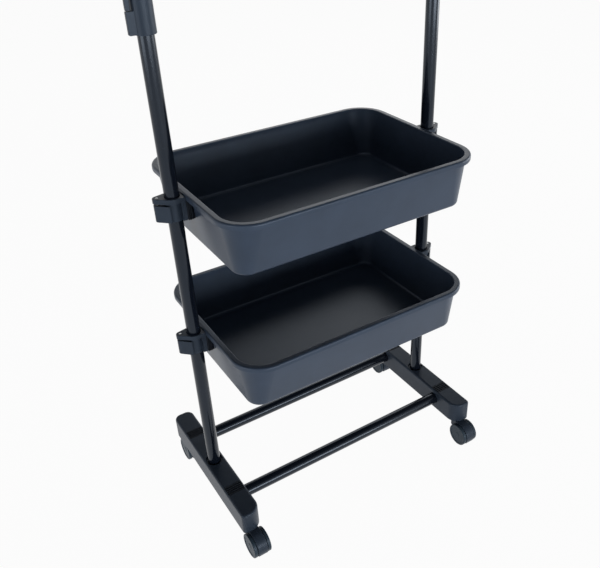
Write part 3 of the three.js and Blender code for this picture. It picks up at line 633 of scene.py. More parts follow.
def ribbed_cover(width, length, height):
    """The cover with its top at zero: a ribbed profile carried across the foot."""
    pitch = length / COVER_RIBS
    corners = [(-length / 2, -height, GROOVE_CORNER), (length / 2, -height, GROOVE_CORNER)]
    for rib in range(COVER_RIBS):
        right = length / 2 - rib * pitch
        left = right - pitch
        inset = GROOVE_WIDTH / 2
        first, last = rib == 0, rib == COVER_RIBS - 1
        if not first:
            corners.append((right - inset, -GROOVE_DEPTH, GROOVE_CORNER))
        corners.append((right if first else right - inset, 0, RIB_CORNER))
        corners.append((left if last else left + inset, 0, RIB_CORNER))
        if not last:
            corners.append((left + inset, -GROOVE_DEPTH, GROOVE_CORNER))
    return along_x(slab(rounded(corners, 3), -width / 2, width / 2, FINE_EDGE, FINE_EDGE, 3))


for hand in ("left", "right"):
    for end in ("front", "rear"):
        name = f"screw_cover_{end}_{hand}"
        seated(ribbed_cover(*size_of(name)), f"{end}_{hand}_screw_cover", "base",
               cover_plastic, [name], top_middle(name))


# ---------- casters ----------
# Twin-wheel furniture casters. A nylon hood with a steel stem swivels in the foot and trails its
# axle, and a plain wheel runs on each side of it.

HOOD_WIDTH = 16.5
HOOD_OVERSIZE = 0.8
HOOD_SKIRT = 9
HOOD_EDGE = 0.9
HOOD_CORNER = 2
HOOD_NOSE_CORNER = 1.5
TRAIL = 16.5
BOSS_RADIUS = 8
BOSS_EDGE = 0.4
STEM_RADIUS = 4
STEM_EDGE = 0.8
STEM_ROOT = 2
CASTER_GAP = 0.3
AXLE_BORE = 2.8
AXLE_SEAT = 3.6
WHEEL_EDGE = 1.2
WHEEL_INNER_EDGE = 0.8
WHEEL_DISH = 0.8
WHEEL_DISH_BORDER = 4.2
DISH_SLOPE = 0.8
DISH_EDGE = 0.5
DISH_CORNER = 0.8
HUB_RADIUS = 4.5
HUB_SLOPE = 0.6
HUB_RISE = 0.5
AXLE_EDGE = 0.4
WHEEL_COLOUR = (0.02, 0.033, 0.048, 1)
WORN_WHEEL = (0.05, 0.065, 0.085, 1)

wheel_plastic = moulded_plastic("wheel_plastic", WHEEL_COLOUR, WORN_WHEEL, gloss=0.26,
                                roughness=0.42, grain=0.7, depth=0.04, edge_wear=0.5, dust=0.04)


def stub(radius, low, high, edge, segments):
    """A round stub with its upper edge rounded."""
    return turned([(0, low), (radius, low)]
                  + arc(radius - edge, high - edge, edge, 0, 90, EDGE_STEPS) + [(0, high)],
                  segments)


def hood(wheel_radius, seat, top):
    """The hood about its swivel axis, trailing to -Y. The floor is at zero."""
    radius = wheel_radius + HOOD_OVERSIZE
    shoulder = wheel_radius + radius
    skirt = math.degrees(math.asin((HOOD_SKIRT - wheel_radius) / radius))
    nose = TRAIL + BOSS_RADIUS
    back = arc(0, wheel_radius, radius, 90, 180 - skirt, 24)
    outline = rounded([(x, y, 0) for x, y in back]
                      + [(wheel_radius / 2, HOOD_SKIRT, HOOD_CORNER),
                         (nose, wheel_radius + BOSS_RADIUS, HOOD_CORNER),
                         (nose, shoulder, HOOD_NOSE_CORNER)], 4)
    web = slab(outline, -HOOD_WIDTH / 2, HOOD_WIDTH / 2, HOOD_EDGE, HOOD_EDGE)
    web = moved(along_x(web), 0, -TRAIL)
    boss = stub(BOSS_RADIUS, 2 * wheel_radius + CASTER_GAP, seat, BOSS_EDGE, 48)
    stem = stub(STEM_RADIUS, shoulder - STEM_ROOT, top, STEM_EDGE, 32)
    bore = hole(AXLE_BORE, -HOOD_WIDTH / 2, HOOD_WIDTH / 2, FINE_EDGE, both=True, segments=24)
    return cut(joined_to(web, boss, stem), moved(bore, 0, -TRAIL, wheel_radius, 90, "Y"))


def wheel(radius, width):
    """A wheel about X, with its outer face towards +X and its inner face at zero."""
    dish = radius - WHEEL_DISH_BORDER
    floor = width - WHEEL_DISH
    hub = floor + HUB_RISE
    corners = [(0, AXLE_SEAT, 0), (AXLE_BORE, AXLE_SEAT, 0), (AXLE_BORE, 0, FINE_EDGE),
               (radius, 0, WHEEL_INNER_EDGE), (radius, width, WHEEL_EDGE),
               (dish + DISH_SLOPE, width, DISH_EDGE), (dish, floor, DISH_CORNER),
               (HUB_RADIUS + HUB_SLOPE, floor, DISH_EDGE), (HUB_RADIUS, hub, FINE_EDGE),
               (0, hub, 0)]
    return moved(turned(rounded(corners, EDGE_STEPS), 72), turn=90, about="Y")


def axle(radius, half_length):
    """A plain pin along X with its ends eased."""
    profile = rounded([(0, -half_length, 0), (radius, -half_length, AXLE_EDGE),
                       (radius, half_length, AXLE_EDGE), (0, half_length, 0)], 3)
    return moved(turned(profile, 32), turn=90, about="Y")


for hand, side in (("left", -1), ("right", 1)):
    foot_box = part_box(f"foot_{hand}")
    for end, direction in (("front", -1), ("rear", 1)):
        corner = f"{end}_{hand}"
        wheel_size = size_of(f"wheel_outer_{corner}")
        hood_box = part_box(f"caster_hood_{corner}")
        axle_middle = middle(f"caster_axle_{corner}")
        swivel = Vector((axle_middle.x, axle_middle.y + TRAIL * MM, 0))
        seat = foot_box[0].z / MM - CASTER_GAP
        seated(hood(wheel_size.z / 2, seat, hood_box[1].z / MM), f"{corner}_caster_hood",
               f"{corner}_caster", moulding, [f"caster_hood_{corner}"], swivel, side)
        axle_size = size_of(f"caster_axle_{corner}")
        seated(axle(axle_size.z / 2, axle_size.x / 2), f"{corner}_caster_axle",
               f"{corner}_caster", pin_steel, [f"caster_axle_{corner}"],
               axle_middle)
        for place, facing in (("inner", -side), ("outer", side)):
            name = f"wheel_{place}_{corner}"
            low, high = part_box(name)
            face = axle_middle.copy()
            face.x = low.x if facing > 0 else high.x
            seated(wheel(wheel_size.z / 2, wheel_size.x), f"{corner}_{place}_wheel",
                   f"{corner}_{place}_wheel", wheel_plastic, [name], face,
                   facing)


# ---------- posts ----------
# Two round steel tubes in the same gloss black as the rods. Each is pressed into the middle of a
# foot, and carries the trays' clamps.

POST_WALL = 1.5

for hand in ("left", "right"):
    name = f"post_{hand}"
    size = size_of(name)
    seated(tube(size.x / 2, POST_WALL, size.z / 2, 96), f"{hand}_post", "base",
           black_tube, [name], middle(name))


# ---------- trays ----------
# Two deep tubs moulded in slate polypropylene with a fine semi-gloss grain. Their walls lean out,
# and the rim turns over and hangs down as a short skirt.

TRAY_COLOUR = (0.032, 0.047, 0.076, 1)
WORN_TRAY = (0.055, 0.075, 0.11, 1)
TRAY_WALL = 2.5
TRAY_RIM_CORNER = 49
TRAY_FLOOR_CORNER = 23
TRAY_END_DRAFT = 8
TRAY_SIDE_DRAFT = 13.5
OUTER_FILLET = 6
INNER_FILLET = 5
RIM_OVERHANG = 7
RIM_DROP = 8
RIM_THICKNESS = 2.5
RIM_ROLL = 3
RIM_INNER_EDGE = 1.4
RIM_ROOT_EDGE = ((1, 0), (0.3, -0.3), (0, -1))
SKIRT_INNER_EDGE = ((0, 0.6), (0.2, 0.2), (0.6, 0))
SKIRT_OUTER_EDGE = ((0.7, 0), (0.2, 0.2), (0, 0.7))
WALL_STATIONS = (0, 0.33, 0.66)
TRAY_CORNER_STEPS = 20
TRAY_EDGE_STEPS = 6

tray_plastic = moulded_plastic("tray_plastic", TRAY_COLOUR, WORN_TRAY, gloss=0.34,
                               roughness=0.34, grain=0.6, depth=0.025, edge_wear=0.3, dust=0.05)


def tray(length, width, height):
    """The tray with the top of its rim at zero."""

    def rim_ring(inset, z):
        """A ring round the rim."""
        outline = bar_outline(length / 2 - inset, width / 2 - inset, TRAY_RIM_CORNER - inset,
                              TRAY_CORNER_STEPS)
        return [(x, y, z) for x, y in outline]

    def wall_ring(share, inset, z):
        """A ring round the wall, with a share of 0 at its top and 1 at the floor."""
        root = TRAY_RIM_CORNER - RIM_OVERHANG
        corner = root + (TRAY_FLOOR_CORNER - root) * share - inset
        outline = bar_outline(length / 2 - RIM_OVERHANG - TRAY_END_DRAFT * share - inset,
                              width / 2 - RIM_OVERHANG - TRAY_SIDE_DRAFT * share - inset,
                              corner, TRAY_CORNER_STEPS)
        return [(x, y, z) for x, y in outline]

    def eased(x, z, radius, start, end):
        return arc(x, z, radius, start, end, TRAY_EDGE_STEPS)

    rings = [wall_ring(1, inset, z)
             for inset, z in eased(OUTER_FILLET, OUTER_FILLET - height, OUTER_FILLET, 270, 180)]
    rings += [wall_ring(share, 0, -RIM_DROP + (OUTER_FILLET + RIM_DROP - height) * share)
              for share in WALL_STATIONS[::-1]]
    rings += [wall_ring(0, -reach, drop - RIM_THICKNESS) for reach, drop in RIM_ROOT_EDGE[::-1]]
    rings += [rim_ring(RIM_THICKNESS + reach, drop - RIM_THICKNESS)
              for reach, drop in RIM_ROOT_EDGE]
    rings += [rim_ring(RIM_THICKNESS - reach, rise - RIM_DROP)
              for reach, rise in SKIRT_INNER_EDGE]
    rings += [rim_ring(reach, rise - RIM_DROP) for reach, rise in SKIRT_OUTER_EDGE]
    rings += [rim_ring(inset, z) for inset, z in eased(RIM_ROLL, -RIM_ROLL, RIM_ROLL, 180, 90)]
    rings += [wall_ring(0, inset, z) for inset, z in eased(
        TRAY_WALL - RIM_INNER_EDGE, -RIM_INNER_EDGE, RIM_INNER_EDGE, 90, 0)]
    inner_end = TRAY_WALL + INNER_FILLET - height
    rings += [wall_ring(share, TRAY_WALL, -RIM_DROP + (inner_end + RIM_DROP) * share)
              for share in WALL_STATIONS]
    rings += [wall_ring(1, inset, z) for inset, z in eased(
        TRAY_WALL + INNER_FILLET, inner_end, INNER_FILLET, 180, 270)]
    return skin(rings)


for level in ("lower", "upper"):
    name = f"tray_{level}"
    seated(tray(*size_of(name)), f"{level}_tray_tub", f"{level}_tray",
           tray_plastic, [name], top_middle(name))


# ---------- tray brackets ----------
# Ribbed blocks of the anthracite moulding, bonded to each end of a tray under its rim. They are
# coloured near black as painted shade under the rim. The clamp's collar is fixed to them.

BRACKET_WIDTH = 31
BRACKET_RIBS = 3
RIB_THICKNESS = 1.6
RIB_EDGE = 0.5
BRACKET_EDGE = 0.5
BRACKET_HEEL = 0.4
BRACKET_TOE = 0.8
# Painted shade: the bracket's colour and its worn-edge colour are darkened nearly to black to stand
# in for the shade under the tray's rim, and this material carries them.
BRACKET_SHADE_COLOUR = (0.004, 0.005, 0.008, 1)
WORN_SHADED_BRACKET = (0.02, 0.025, 0.034, 1)

shaded_bracket_plastic = moulded_plastic("shaded_bracket_plastic", BRACKET_SHADE_COLOUR, WORN_SHADED_BRACKET, gloss=0.2,
                                  roughness=0.45, grain=0.8, depth=0.04, edge_wear=0.4, dust=0.04)


def bracket(inner_top, inner_bottom, outer, low, high, reach):
    """The block between the leaning wall and the collar, about the post, with the rim at zero."""
    profile = rounded([(inner_bottom, low, BRACKET_HEEL), (outer, low, BRACKET_TOE),
                       (outer, high, FINE_EDGE), (inner_top, high, FINE_EDGE)], 3)
    block = slab(profile, -BRACKET_WIDTH / 2, BRACKET_WIDTH / 2, BRACKET_EDGE, BRACKET_EDGE, 3)
    block.data.transform(Matrix(((1, 0, 0, 0), (0, 0, -1, 0), (0, 1, 0, 0), (0, 0, 0, 1))))
    pitch = (outer - inner_top) / BRACKET_RIBS
    outline = bar_outline(RIB_THICKNESS / 2, reach, RIB_EDGE, EDGE_STEPS)
    ribs = [moved(slab(outline, low, high, FINE_EDGE, RIB_EDGE), inner_top + pitch * (rib + 0.5))
            for rib in range(BRACKET_RIBS)]
    return joined_to(block, *ribs)


def rim_top(level):
    """The height of the tray's rim."""
    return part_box(f"tray_{level}")[1].z


def on_post(hand, height):
    """A place on the post's axis."""
    post = middle(f"post_{hand}")
    return post.x, post.y, height


def heights(node_name, level):
    """The node's bottom and top in millimetres, from the tray's rim."""
    return [(corner.z - rim_top(level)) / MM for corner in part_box(node_name)]


for level in ("lower", "upper"):
    for hand, side in (("left", -1), ("right", 1)):
        name = f"tray_bracket_{level}_{hand}"
        place = on_post(hand, rim_top(level))
        inner, outer = sorted(side * (corner.x - place[0]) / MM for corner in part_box(name))
        front, rear = (corner.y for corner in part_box(name))
        low, high = heights(name, level)
        lean = TRAY_END_DRAFT / (size_of(f"tray_{level}").z - RIM_DROP - OUTER_FILLET)
        inner_top = inner + lean * (high - low)
        piece = bracket(inner_top, inner, outer, low, high, (rear - front) / MM / 2)
        # The bracket's near-black colour is painted shade from the rim above it.
        seated(piece, f"{level}_{hand}_tray_bracket", f"{level}_tray",
               shaded_bracket_plastic, [name], place, side)


# ---------- clamp collars ----------
# A moulded collar slides on the post at each end of a tray. It has a flange on top, with a lug for
# the lever's pin, and its ring is thin in front, where the lever wraps it.

CLAMP_RADIUS = 14.5
COLLAR_BORE = 10.3
COLLAR_RING = 12
COLLAR_FACE = -12.2
FLANGE_THICKNESS = 7
FLANGE_EDGE = 0.9
COLLAR_FOOT_EDGE = 0.5
COLLAR_TOP_EDGE = 0.2
COLLAR_MOUTH = 0.7
LUG_X = 19
LUG_Y = 5
LUG_RADIUS = 6
BLOCK_EDGE = 6.2
PIN_BORE = 2.3
RING_END = 70
RING_STEP = 5
LUG_ANGLE = math.degrees(math.atan2(LUG_Y, LUG_X))
LUG_DISTANCE = math.hypot(LUG_X, LUG_Y)


def belt(round_post, round_lug):
    """How far from the lug's direction a straight side touches both circles, in degrees."""
    return math.degrees(math.acos((round_post - round_lug) / LUG_DISTANCE))


def collar(low, high):
    """The collar about its post, with the rim's top at zero."""
    side = belt(CLAMP_RADIUS, LUG_RADIUS)
    plate = [(COLLAR_FACE, -CLAMP_RADIUS)]
    plate += arc(0, 0, CLAMP_RADIUS, -90, LUG_ANGLE - side, 16)
    plate += arc(LUG_X, LUG_Y, LUG_RADIUS, LUG_ANGLE - side, LUG_ANGLE + side, 20)
    plate += arc(0, 0, CLAMP_RADIUS, LUG_ANGLE + side, 90, 8)
    plate += [(COLLAR_FACE, CLAMP_RADIUS)]
    flange = slab(plate, high - FLANGE_THICKNESS, high, FLANGE_EDGE)
    edge_angle = -180 + math.degrees(math.acos(BLOCK_EDGE / COLLAR_RING))
    ring = [(COLLAR_FACE, -CLAMP_RADIUS), (-BLOCK_EDGE, -CLAMP_RADIUS)]
    ring += arc(0, 0, COLLAR_RING, edge_angle, RING_END, 32)
    ring += arc(0, 0, CLAMP_RADIUS, RING_END + RING_STEP, 90, EDGE_STEPS)
    ring += [(COLLAR_FACE, CLAMP_RADIUS)]
    body = slab(ring, low, high - FLANGE_THICKNESS / 2, COLLAR_TOP_EDGE, COLLAR_FOOT_EDGE)
    bore = hole(COLLAR_BORE, low, high, COLLAR_MOUTH, both=True, segments=64)
    pin_hole = moved(hole(PIN_BORE, low, high, FINE_EDGE, segments=24), LUG_X, LUG_Y)
    return cut(joined_to(flange, body), bore, pin_hole)


for level in ("lower", "upper"):
    for hand, side in (("left", -1), ("right", 1)):
        name = f"clamp_collar_{level}_{hand}"
        seated(collar(*heights(name, level)), f"{level}_{hand}_clamp_collar", f"{level}_tray",
               moulding, [name], on_post(hand, rim_top(level)), side)


# ---------- clamp levers ----------
# A moulded cam lever curls round the front of each collar. It turns on the lug's pin, and its heel
# squeezes the collar when it is closed.

LEVER_INNER = 12.3
LEVER_OUTER = 15.3
LEVER_TIP = -52
LEVER_HEEL = 5.5
LEVER_HEEL_END = 150
LEVER_EDGE = 0.6
NOTCH_RADIUS = 1.3
NOTCH_EDGE = 0.2
NOTCH_PROUD = 0.4
NOTCH_LIFT = 2


def lever(low, high):
    """The lever about its post, with the rim's top at zero."""
    side = belt(LEVER_OUTER, LEVER_HEEL)
    tip_radius = (LEVER_OUTER - LEVER_INNER) / 2
    centre = (LEVER_OUTER + LEVER_INNER) / 2
    tip = math.radians(LEVER_TIP)
    outline = arc(0, 0, LEVER_OUTER, LEVER_TIP, LUG_ANGLE - side, 24)
    outline += arc(LUG_X, LUG_Y, LEVER_HEEL, LUG_ANGLE - side, LEVER_HEEL_END, 24)
    outline += arc(0, 0, LEVER_INNER, LUG_ANGLE, LEVER_TIP, 32)
    outline += arc(centre * math.cos(tip), centre * math.sin(tip), tip_radius,
                   LEVER_TIP + 180, LEVER_TIP, 8)[1:-1]
    plate = slab(outline, low, high, LEVER_EDGE, LEVER_EDGE, 3)
    pin_hole = moved(hole(PIN_BORE, low, high, FINE_EDGE, both=True, segments=24), LUG_X, LUG_Y)
    notch = moved(hole(NOTCH_RADIUS, -LUG_RADIUS, LUG_RADIUS, NOTCH_EDGE, segments=16),
                  LUG_X + LEVER_HEEL + NOTCH_PROUD, LUG_Y, (low + high) / 2 + NOTCH_LIFT,
                  90, "X")
    return cut(plate, pin_hole, notch)


for level in ("lower", "upper"):
    for hand, side in (("left", -1), ("right", 1)):
        name = f"clamp_lever_{level}_{hand}"
        seated(lever(*heights(name, level)), f"{level}_{hand}_clamp_lever",
               f"{level}_{hand}_clamp_lever", moulding, [name],
               on_post(hand, rim_top(level)), side)


# ---------- clamp pins ----------
# Zinc-plated pins that hang from the collars' lugs and carry the levers on their heads.

PIN_RADIUS = 2
PIN_HEAD_RADIUS = 3.2
PIN_HEAD_HEIGHT = 1
PIN_EDGE = 0.4
PIN_NECK_EDGE = 0.2


def headed_pin(length):
    """The pin with its top at zero and its head at the bottom."""
    shoulder = -length + PIN_HEAD_HEIGHT
    profile = rounded([(0, -length, 0), (PIN_HEAD_RADIUS, -length, PIN_EDGE),
                       (PIN_HEAD_RADIUS, shoulder, PIN_NECK_EDGE), (PIN_RADIUS, shoulder, 0),
                       (PIN_RADIUS, 0, PIN_EDGE), (0, 0, 0)], EDGE_STEPS)
    return turned(profile, 32)


for level in ("lower", "upper"):
    for hand in ("left", "right"):
        name = f"clamp_pin_{level}_{hand}"
        seated(headed_pin(size_of(name).z), f"{level}_{hand}_clamp_pin", f"{level}_tray",
               pin_steel, [name], top_middle(name))


# ---------- sleeves ----------
# Moulded sleeves pushed over the tops of the posts, which guide the telescopic tubes. Each has a
# thin lug low down on its outer side, and two ears above it for the flip lever.

SLEEVE_RADIUS = 13.25
SLEEVE_FOOT_EDGE = 0.9
SLEEVE_TOP_EDGE = 1.2
SLEEVE_MOUTH = 0.5
SLEEVE_BORE_EDGE = 0.4
SLEEVE_STEP_EDGE = 0.2
SLEEVE_GAP = 0.3
TUBE_BORE = 8.3
FIN_REACH = 21
FIN_Y = -4
FIN_WIDTH = 5
FIN_LIFT = 1
FIN_HEIGHT = 26
FIN_EDGE = 0.5
FIN_FOOT_CORNER = 1.5
FIN_TOP_CORNER = 0.8
FIN_ROOT = 1
EAR_OFFSET = 3.8
EAR_THICKNESS = 2
EAR_HEIGHT = 16
FLIP_PIVOT_X = 17.1
FLIP_PIVOT_DROP = 12


def upright_slab(profile, middle_y, width, edge):
    """A slab of a profile drawn in X and Z, as wide as asked in Y."""
    thing = slab(profile, -width / 2, width / 2, edge, edge, 3)
    return moved(thing, 0, middle_y, 0, 90, "X")


def fin(middle_y, width, low, high):
    """A thin plate that stands out from the sleeve's wall."""
    root = math.sqrt(SLEEVE_RADIUS ** 2 - (abs(middle_y) + width / 2) ** 2) - FIN_ROOT
    profile = rounded([(root, low, 0), (FIN_REACH, low, FIN_FOOT_CORNER),
                       (FIN_REACH, high, FIN_TOP_CORNER), (root, high, 0)], 6)
    return upright_slab(profile, middle_y, width, FIN_EDGE)


def sleeve(height, post_top):
    """The sleeve about its post, with its foot at zero."""
    step = post_top + SLEEVE_GAP
    profile = rounded([(POST_BORE, 0, SLEEVE_BORE_EDGE), (SLEEVE_RADIUS, 0, SLEEVE_FOOT_EDGE),
                       (SLEEVE_RADIUS, height, SLEEVE_TOP_EDGE),
                       (TUBE_BORE, height, SLEEVE_MOUTH), (TUBE_BORE, step, SLEEVE_STEP_EDGE),
                       (POST_BORE, step, SLEEVE_STEP_EDGE)], EDGE_STEPS)
    body = turned(profile, 96, joined=True)
    pivot = height - FLIP_PIVOT_DROP
    fins = [fin(FIN_Y, FIN_WIDTH, FIN_LIFT, FIN_LIFT + FIN_HEIGHT)]
    fins += [fin(FIN_Y + side * EAR_OFFSET, EAR_THICKNESS, pivot - EAR_HEIGHT / 2,
                 pivot + EAR_HEIGHT / 2) for side in (-1, 1)]
    bore = turned([(0, -1), (POST_BORE, -1), (POST_BORE, step), (TUBE_BORE, step),
                   (TUBE_BORE, height + 1), (0, height + 1)], 96)
    far = EAR_OFFSET + EAR_THICKNESS / 2
    pin_hole = moved(hole(PIN_BORE, -far, far, FINE_EDGE, both=True, segments=24),
                     FLIP_PIVOT_X, FIN_Y, pivot, 90, "X")
    return cut(joined_to(body, *fins), bore, pin_hole)


for hand, side in (("left", -1), ("right", 1)):
    name = f"sleeve_{hand}"
    foot_z, top_z = (corner.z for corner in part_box(name))
    post_top = (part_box(f"post_{hand}")[1].z - foot_z) / MM
    seated(sleeve((top_z - foot_z) / MM, post_top), f"{hand}_sleeve", "base",
           moulding, [name], on_post(hand, foot_z), side)


# ---------- flip levers ----------
# A moulded lever on each sleeve clamps the telescopic tube. It turns on a steel pin between the
# sleeve's ears and hangs down to the lug.

FLIP_BARREL = 3.4
FLIP_BARREL_END = 225
FLIP_THICKNESS = 5.5
FLIP_EDGE = 0.6
FLIP_THROAT = 3
FLIP_HEEL = 0.5
FLIP_TOE = 0.8


def flip_lever(bottom, pivot):
    """The lever about its post, with the sleeve's foot at zero."""
    outside = FLIP_PIVOT_X + FLIP_BARREL
    inside = outside - FLIP_THICKNESS
    barrel = arc(FLIP_PIVOT_X, pivot, FLIP_BARREL, 0, FLIP_BARREL_END, 28)
    outline = rounded([(x, z, 0) for x, z in barrel]
                      + [(inside, pivot - 2 * FLIP_BARREL, FLIP_THROAT),
                         (inside, bottom, FLIP_HEEL), (outside, bottom, FLIP_TOE)], 6)
    bore = hole(PIN_BORE, -FIN_WIDTH / 2, FIN_WIDTH / 2, FINE_EDGE, both=True, segments=24)
    return cut(upright_slab(outline, FIN_Y, FIN_WIDTH, FLIP_EDGE),
               moved(bore, FLIP_PIVOT_X, FIN_Y, pivot, 90, "X"))


for hand, side in (("left", -1), ("right", 1)):
    name = f"flip_lever_{hand}"
    foot_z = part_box(f"sleeve_{hand}")[0].z
    pivot = size_of(f"sleeve_{hand}").z - FLIP_PIVOT_DROP
    bottom = (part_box(name)[0].z - foot_z) / MM
    seated(flip_lever(bottom, pivot), f"{hand}_flip_lever", f"{hand}_flip_lever",
           moulding, [name], on_post(hand, foot_z), side)
    pin_name = f"flip_pin_{hand}"
    pin_size = size_of(pin_name)
    pin = moved(axle(pin_size.x / 2, pin_size.y / 2), turn=90)
    seated(pin, f"{hand}_flip_pin", "base", pin_steel, [pin_name],
           middle(pin_name))


# ---------- upper frame ----------
# Two thinner gloss black tubes slide in the posts, and moulded elbows join them to a crossbar of
# the same tube.

INNER_TUBE_WALL = 1.5
ELBOW_BEND = 22
ELBOW_SOCKET = 16
ELBOW_LIP = 1.2
ELBOW_EDGE = ((0, 0.7), (0.35, 0.2), (0.9, 0))
ELBOW_MOUTH = 0.6
ELBOW_STEPS = 14
ELBOW_SEGMENTS = 64


def elbow(radius, bore):
    """The elbow from the post's axis towards -X, with the crossbar's axis at zero."""
    end = -ELBOW_BEND - ELBOW_SOCKET
    stations = [(0, end + shift, 0, radius - ELBOW_LIP * shrink) for shift, shrink in ELBOW_EDGE]
    for i in range(ELBOW_STEPS + 1):
        turn = math.pi / 2 * i / ELBOW_STEPS
        stations.append((ELBOW_BEND * (math.cos(turn) - 1),
                         ELBOW_BEND * (math.sin(turn) - 1), turn, radius))
    stations += [(end + shift, 0, math.pi / 2, radius - ELBOW_LIP * shrink)
                 for shift, shrink in ELBOW_EDGE[::-1]]
    angles = [2 * math.pi * i / ELBOW_SEGMENTS for i in range(ELBOW_SEGMENTS)]
    body = skin([[(x + r * math.cos(a) * math.cos(turn), r * math.sin(a),
                   z + r * math.cos(a) * math.sin(turn)) for a in angles]
                 for x, z, turn, r in stations])
    sockets = [moved(hole(bore, -ELBOW_SOCKET, 0, ELBOW_MOUTH, segments=48), turn=turn,
                     about=about) for turn, about in ((180, "X"), (-90, "Y"))]
    return cut(body, moved(sockets[0], z=end), moved(sockets[1], end))


for hand, side in (("left", -1), ("right", 1)):
    name = f"inner_tube_{hand}"
    size = size_of(name)
    seated(tube(size.x / 2, INNER_TUBE_WALL, size.z / 2), f"{hand}_inner_tube", "upper_frame",
           black_tube, [name], middle(name))
    name = f"elbow_{hand}"
    seated(elbow(size_of(name).y / 2, TUBE_BORE), f"{hand}_elbow", "upper_frame",
           moulding, [name], on_post(hand, middle("crossbar").z), side)

size = size_of("crossbar")
seated(moved(tube(size.z / 2, INNER_TUBE_WALL, size.x / 2), turn=90, about="Y"),
       "top_crossbar", "upper_frame", black_tube, ["crossbar"],
       middle("crossbar"))


# ---------- room ----------
# A wide white floor and a bright surround with a darker ceiling. Soft panels stand low in front and
# at the sides, so the outer walls are lit and the trays' insides stay dark.

FLOOR_RADIUS = 9
FLOOR_WHITE = (0.86, 0.86, 0.86, 1)
FLOOR_ROUGHNESS = 0.9
AMBIENT_WHITE = (0.97, 0.985, 1, 1)
SHOWN_WHITE = 0.96
SIDE_AMBIENT = 0.5
TOP_AMBIENT = 0.05
ROOM_TOP = 0.05
AMBIENT_HEIGHTS = (0.0, 0.3)
ROOM_HEIGHTS = (0.3, 0.85)


def background_share(tree):
    """1 for rays that show the room itself: from the camera, in gloss and through glass."""
    path = node(tree, "ShaderNodeLightPath")
    share = maths(tree, "MAXIMUM", path.outputs["Is Camera Ray"], path.outputs["Is Glossy Ray"])
    return path, maths(tree, "MAXIMUM", share, path.outputs["Is Transmission Ray"])


def floor_material():
    """A matt white floor that takes shadows and shows white."""
    material = bpy.data.materials.new("studio_floor")
    material.use_nodes = True
    tree = material.node_tree
    shader = tree.nodes["Principled BSDF"]
    shader.inputs["Base Color"].default_value = FLOOR_WHITE
    shader.inputs["Roughness"].default_value = FLOOR_ROUGHNESS
    shader.inputs["Specular IOR Level"].default_value = 0
    glow = node(tree, "ShaderNodeEmission")
    glow.inputs["Strength"].default_value = 1
    blend = node(tree, "ShaderNodeMixShader")
    share = background_share(tree)[1]
    tree.links.new(maths(tree, "MULTIPLY", share, SHOWN_WHITE), blend.inputs["Fac"])
    tree.links.new(shader.outputs["BSDF"], blend.inputs[1])
    tree.links.new(glow.outputs["Emission"], blend.inputs[2])
    tree.links.new(blend.outputs["Shader"], tree.nodes["Material Output"].inputs["Surface"])
    return material


shape = bmesh.new()
bmesh.ops.create_circle(shape, cap_ends=True, segments=96, radius=FLOOR_RADIUS)
mesh = bpy.data.meshes.new("studio_floor")
shape.to_mesh(mesh)
shape.free()
floor = bpy.data.objects.new("studio_floor", mesh)
bpy.context.scene.collection.objects.link(floor)
floor.data.materials.append(floor_material())


def surround():
    """The room as light, and as what the camera and glossy pieces see."""
    world = bpy.data.worlds.new("surround")
    bpy.context.scene.world = world
    world.use_nodes = True
    tree = world.node_tree
    ambient = tree.nodes["Background"]
    ambient.inputs["Color"].default_value = AMBIENT_WHITE
    where = node(tree, "ShaderNodeTexCoord").outputs["Generated"]
    split = node(tree, "ShaderNodeSeparateXYZ")
    tree.links.new(where, split.inputs[0])
    path, share = background_share(tree)
    height = split.outputs["Z"]
    tree.links.new(squeezed(tree, height, *AMBIENT_HEIGHTS, SIDE_AMBIENT, TOP_AMBIENT),
                   ambient.inputs["Strength"])
    walls = squeezed(tree, height, *ROOM_HEIGHTS, 1.0, ROOM_TOP)
    shown = maths(tree, "MAXIMUM", walls, path.outputs["Is Camera Ray"])
    room = node(tree, "ShaderNodeBackground")
    room.inputs["Color"].default_value = (1, 1, 1, 1)
    tree.links.new(shown, room.inputs["Strength"])
    blend = node(tree, "ShaderNodeMixShader")
    tree.links.new(share, blend.inputs["Fac"])
    tree.links.new(ambient.outputs["Background"], blend.inputs[1])
    tree.links.new(room.outputs["Background"], blend.inputs[2])
    tree.links.new(blend.outputs["Shader"], tree.nodes["World Output"].inputs["Surface"])


surround()


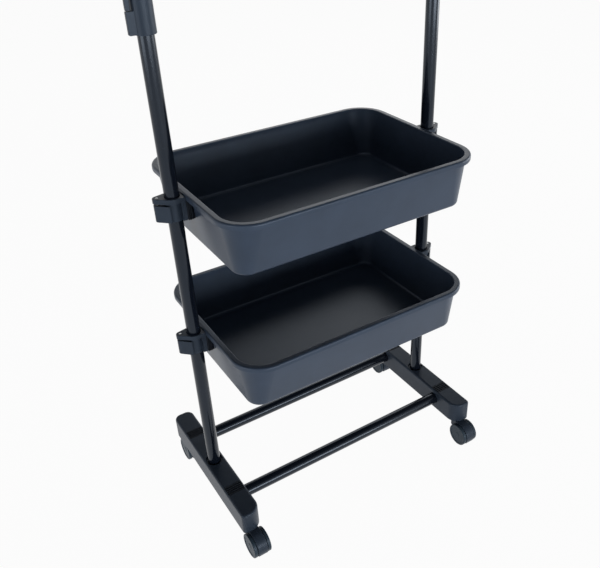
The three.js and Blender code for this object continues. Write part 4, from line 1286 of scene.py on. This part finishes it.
def panel(name, place, aim, width, height, power):
    """A soft rectangular panel of light, aimed at a point."""
    lamp = bpy.data.lights.new(name, "AREA")
    lamp.shape = "RECTANGLE"
    lamp.size = width
    lamp.size_y = height
    lamp.energy = power
    held = bpy.data.objects.new(name, lamp)
    held.location = place
    held.rotation_mode = "QUATERNION"
    held.rotation_quaternion = (Vector(aim) - Vector(place)).to_track_quat("-Z", "Y")
    bpy.context.scene.collection.objects.link(held)


panel("front_panel", (0.3, -3.4, 0.5), (0, 0, 0.4), 2.8, 0.9, 66)
panel("left_panel", (-3, -0.6, 0.5), (0, 0, 0.4), 2.2, 0.9, 24)
panel("right_panel", (3, -0.8, 0.5), (0, 0, 0.4), 2, 0.9, 30)
panel("back_panel", (1.7, 2.5, 2.1), (0, 0, 0.5), 1.6, 1.6, 10)
panel("top_panel", (0.2, 0.3, 3), (0, 0, 0.3), 2, 2, 5)

# The camera stands in front to the left and looks down on the trays.
CAMERA_PLACE = (-0.4863, -0.8055, 0.9414)
CAMERA_AZIMUTH = -32.13
CAMERA_ELEVATION = 32.42
CAMERA_ROLL = -1.81
CAMERA_LENS = 42.26
CAMERA_SENSOR = 36
CAMERA_SHIFT = (-0.0507, 0.0045)

azimuth, elevation = math.radians(CAMERA_AZIMUTH), math.radians(CAMERA_ELEVATION)
back = Vector((math.sin(azimuth) * math.cos(elevation), -math.cos(azimuth) * math.cos(elevation),
               math.sin(elevation)))
right = Vector((0, 0, 1)).cross(back).normalized()
up = back.cross(right)
lens = bpy.data.cameras.new("camera")
lens.lens = CAMERA_LENS
lens.sensor_width = CAMERA_SENSOR
lens.shift_x, lens.shift_y = CAMERA_SHIFT
camera = bpy.data.objects.new("camera", lens)
turn = Matrix((right, up, back)).transposed() @ Matrix.Rotation(math.radians(CAMERA_ROLL), 3, "Z")
camera.matrix_world = Matrix.Translation(CAMERA_PLACE) @ turn.to_4x4()
bpy.context.scene.collection.objects.link(camera)
bpy.context.scene.camera = camera
bpy.context.scene.view_settings.view_transform = "Standard"
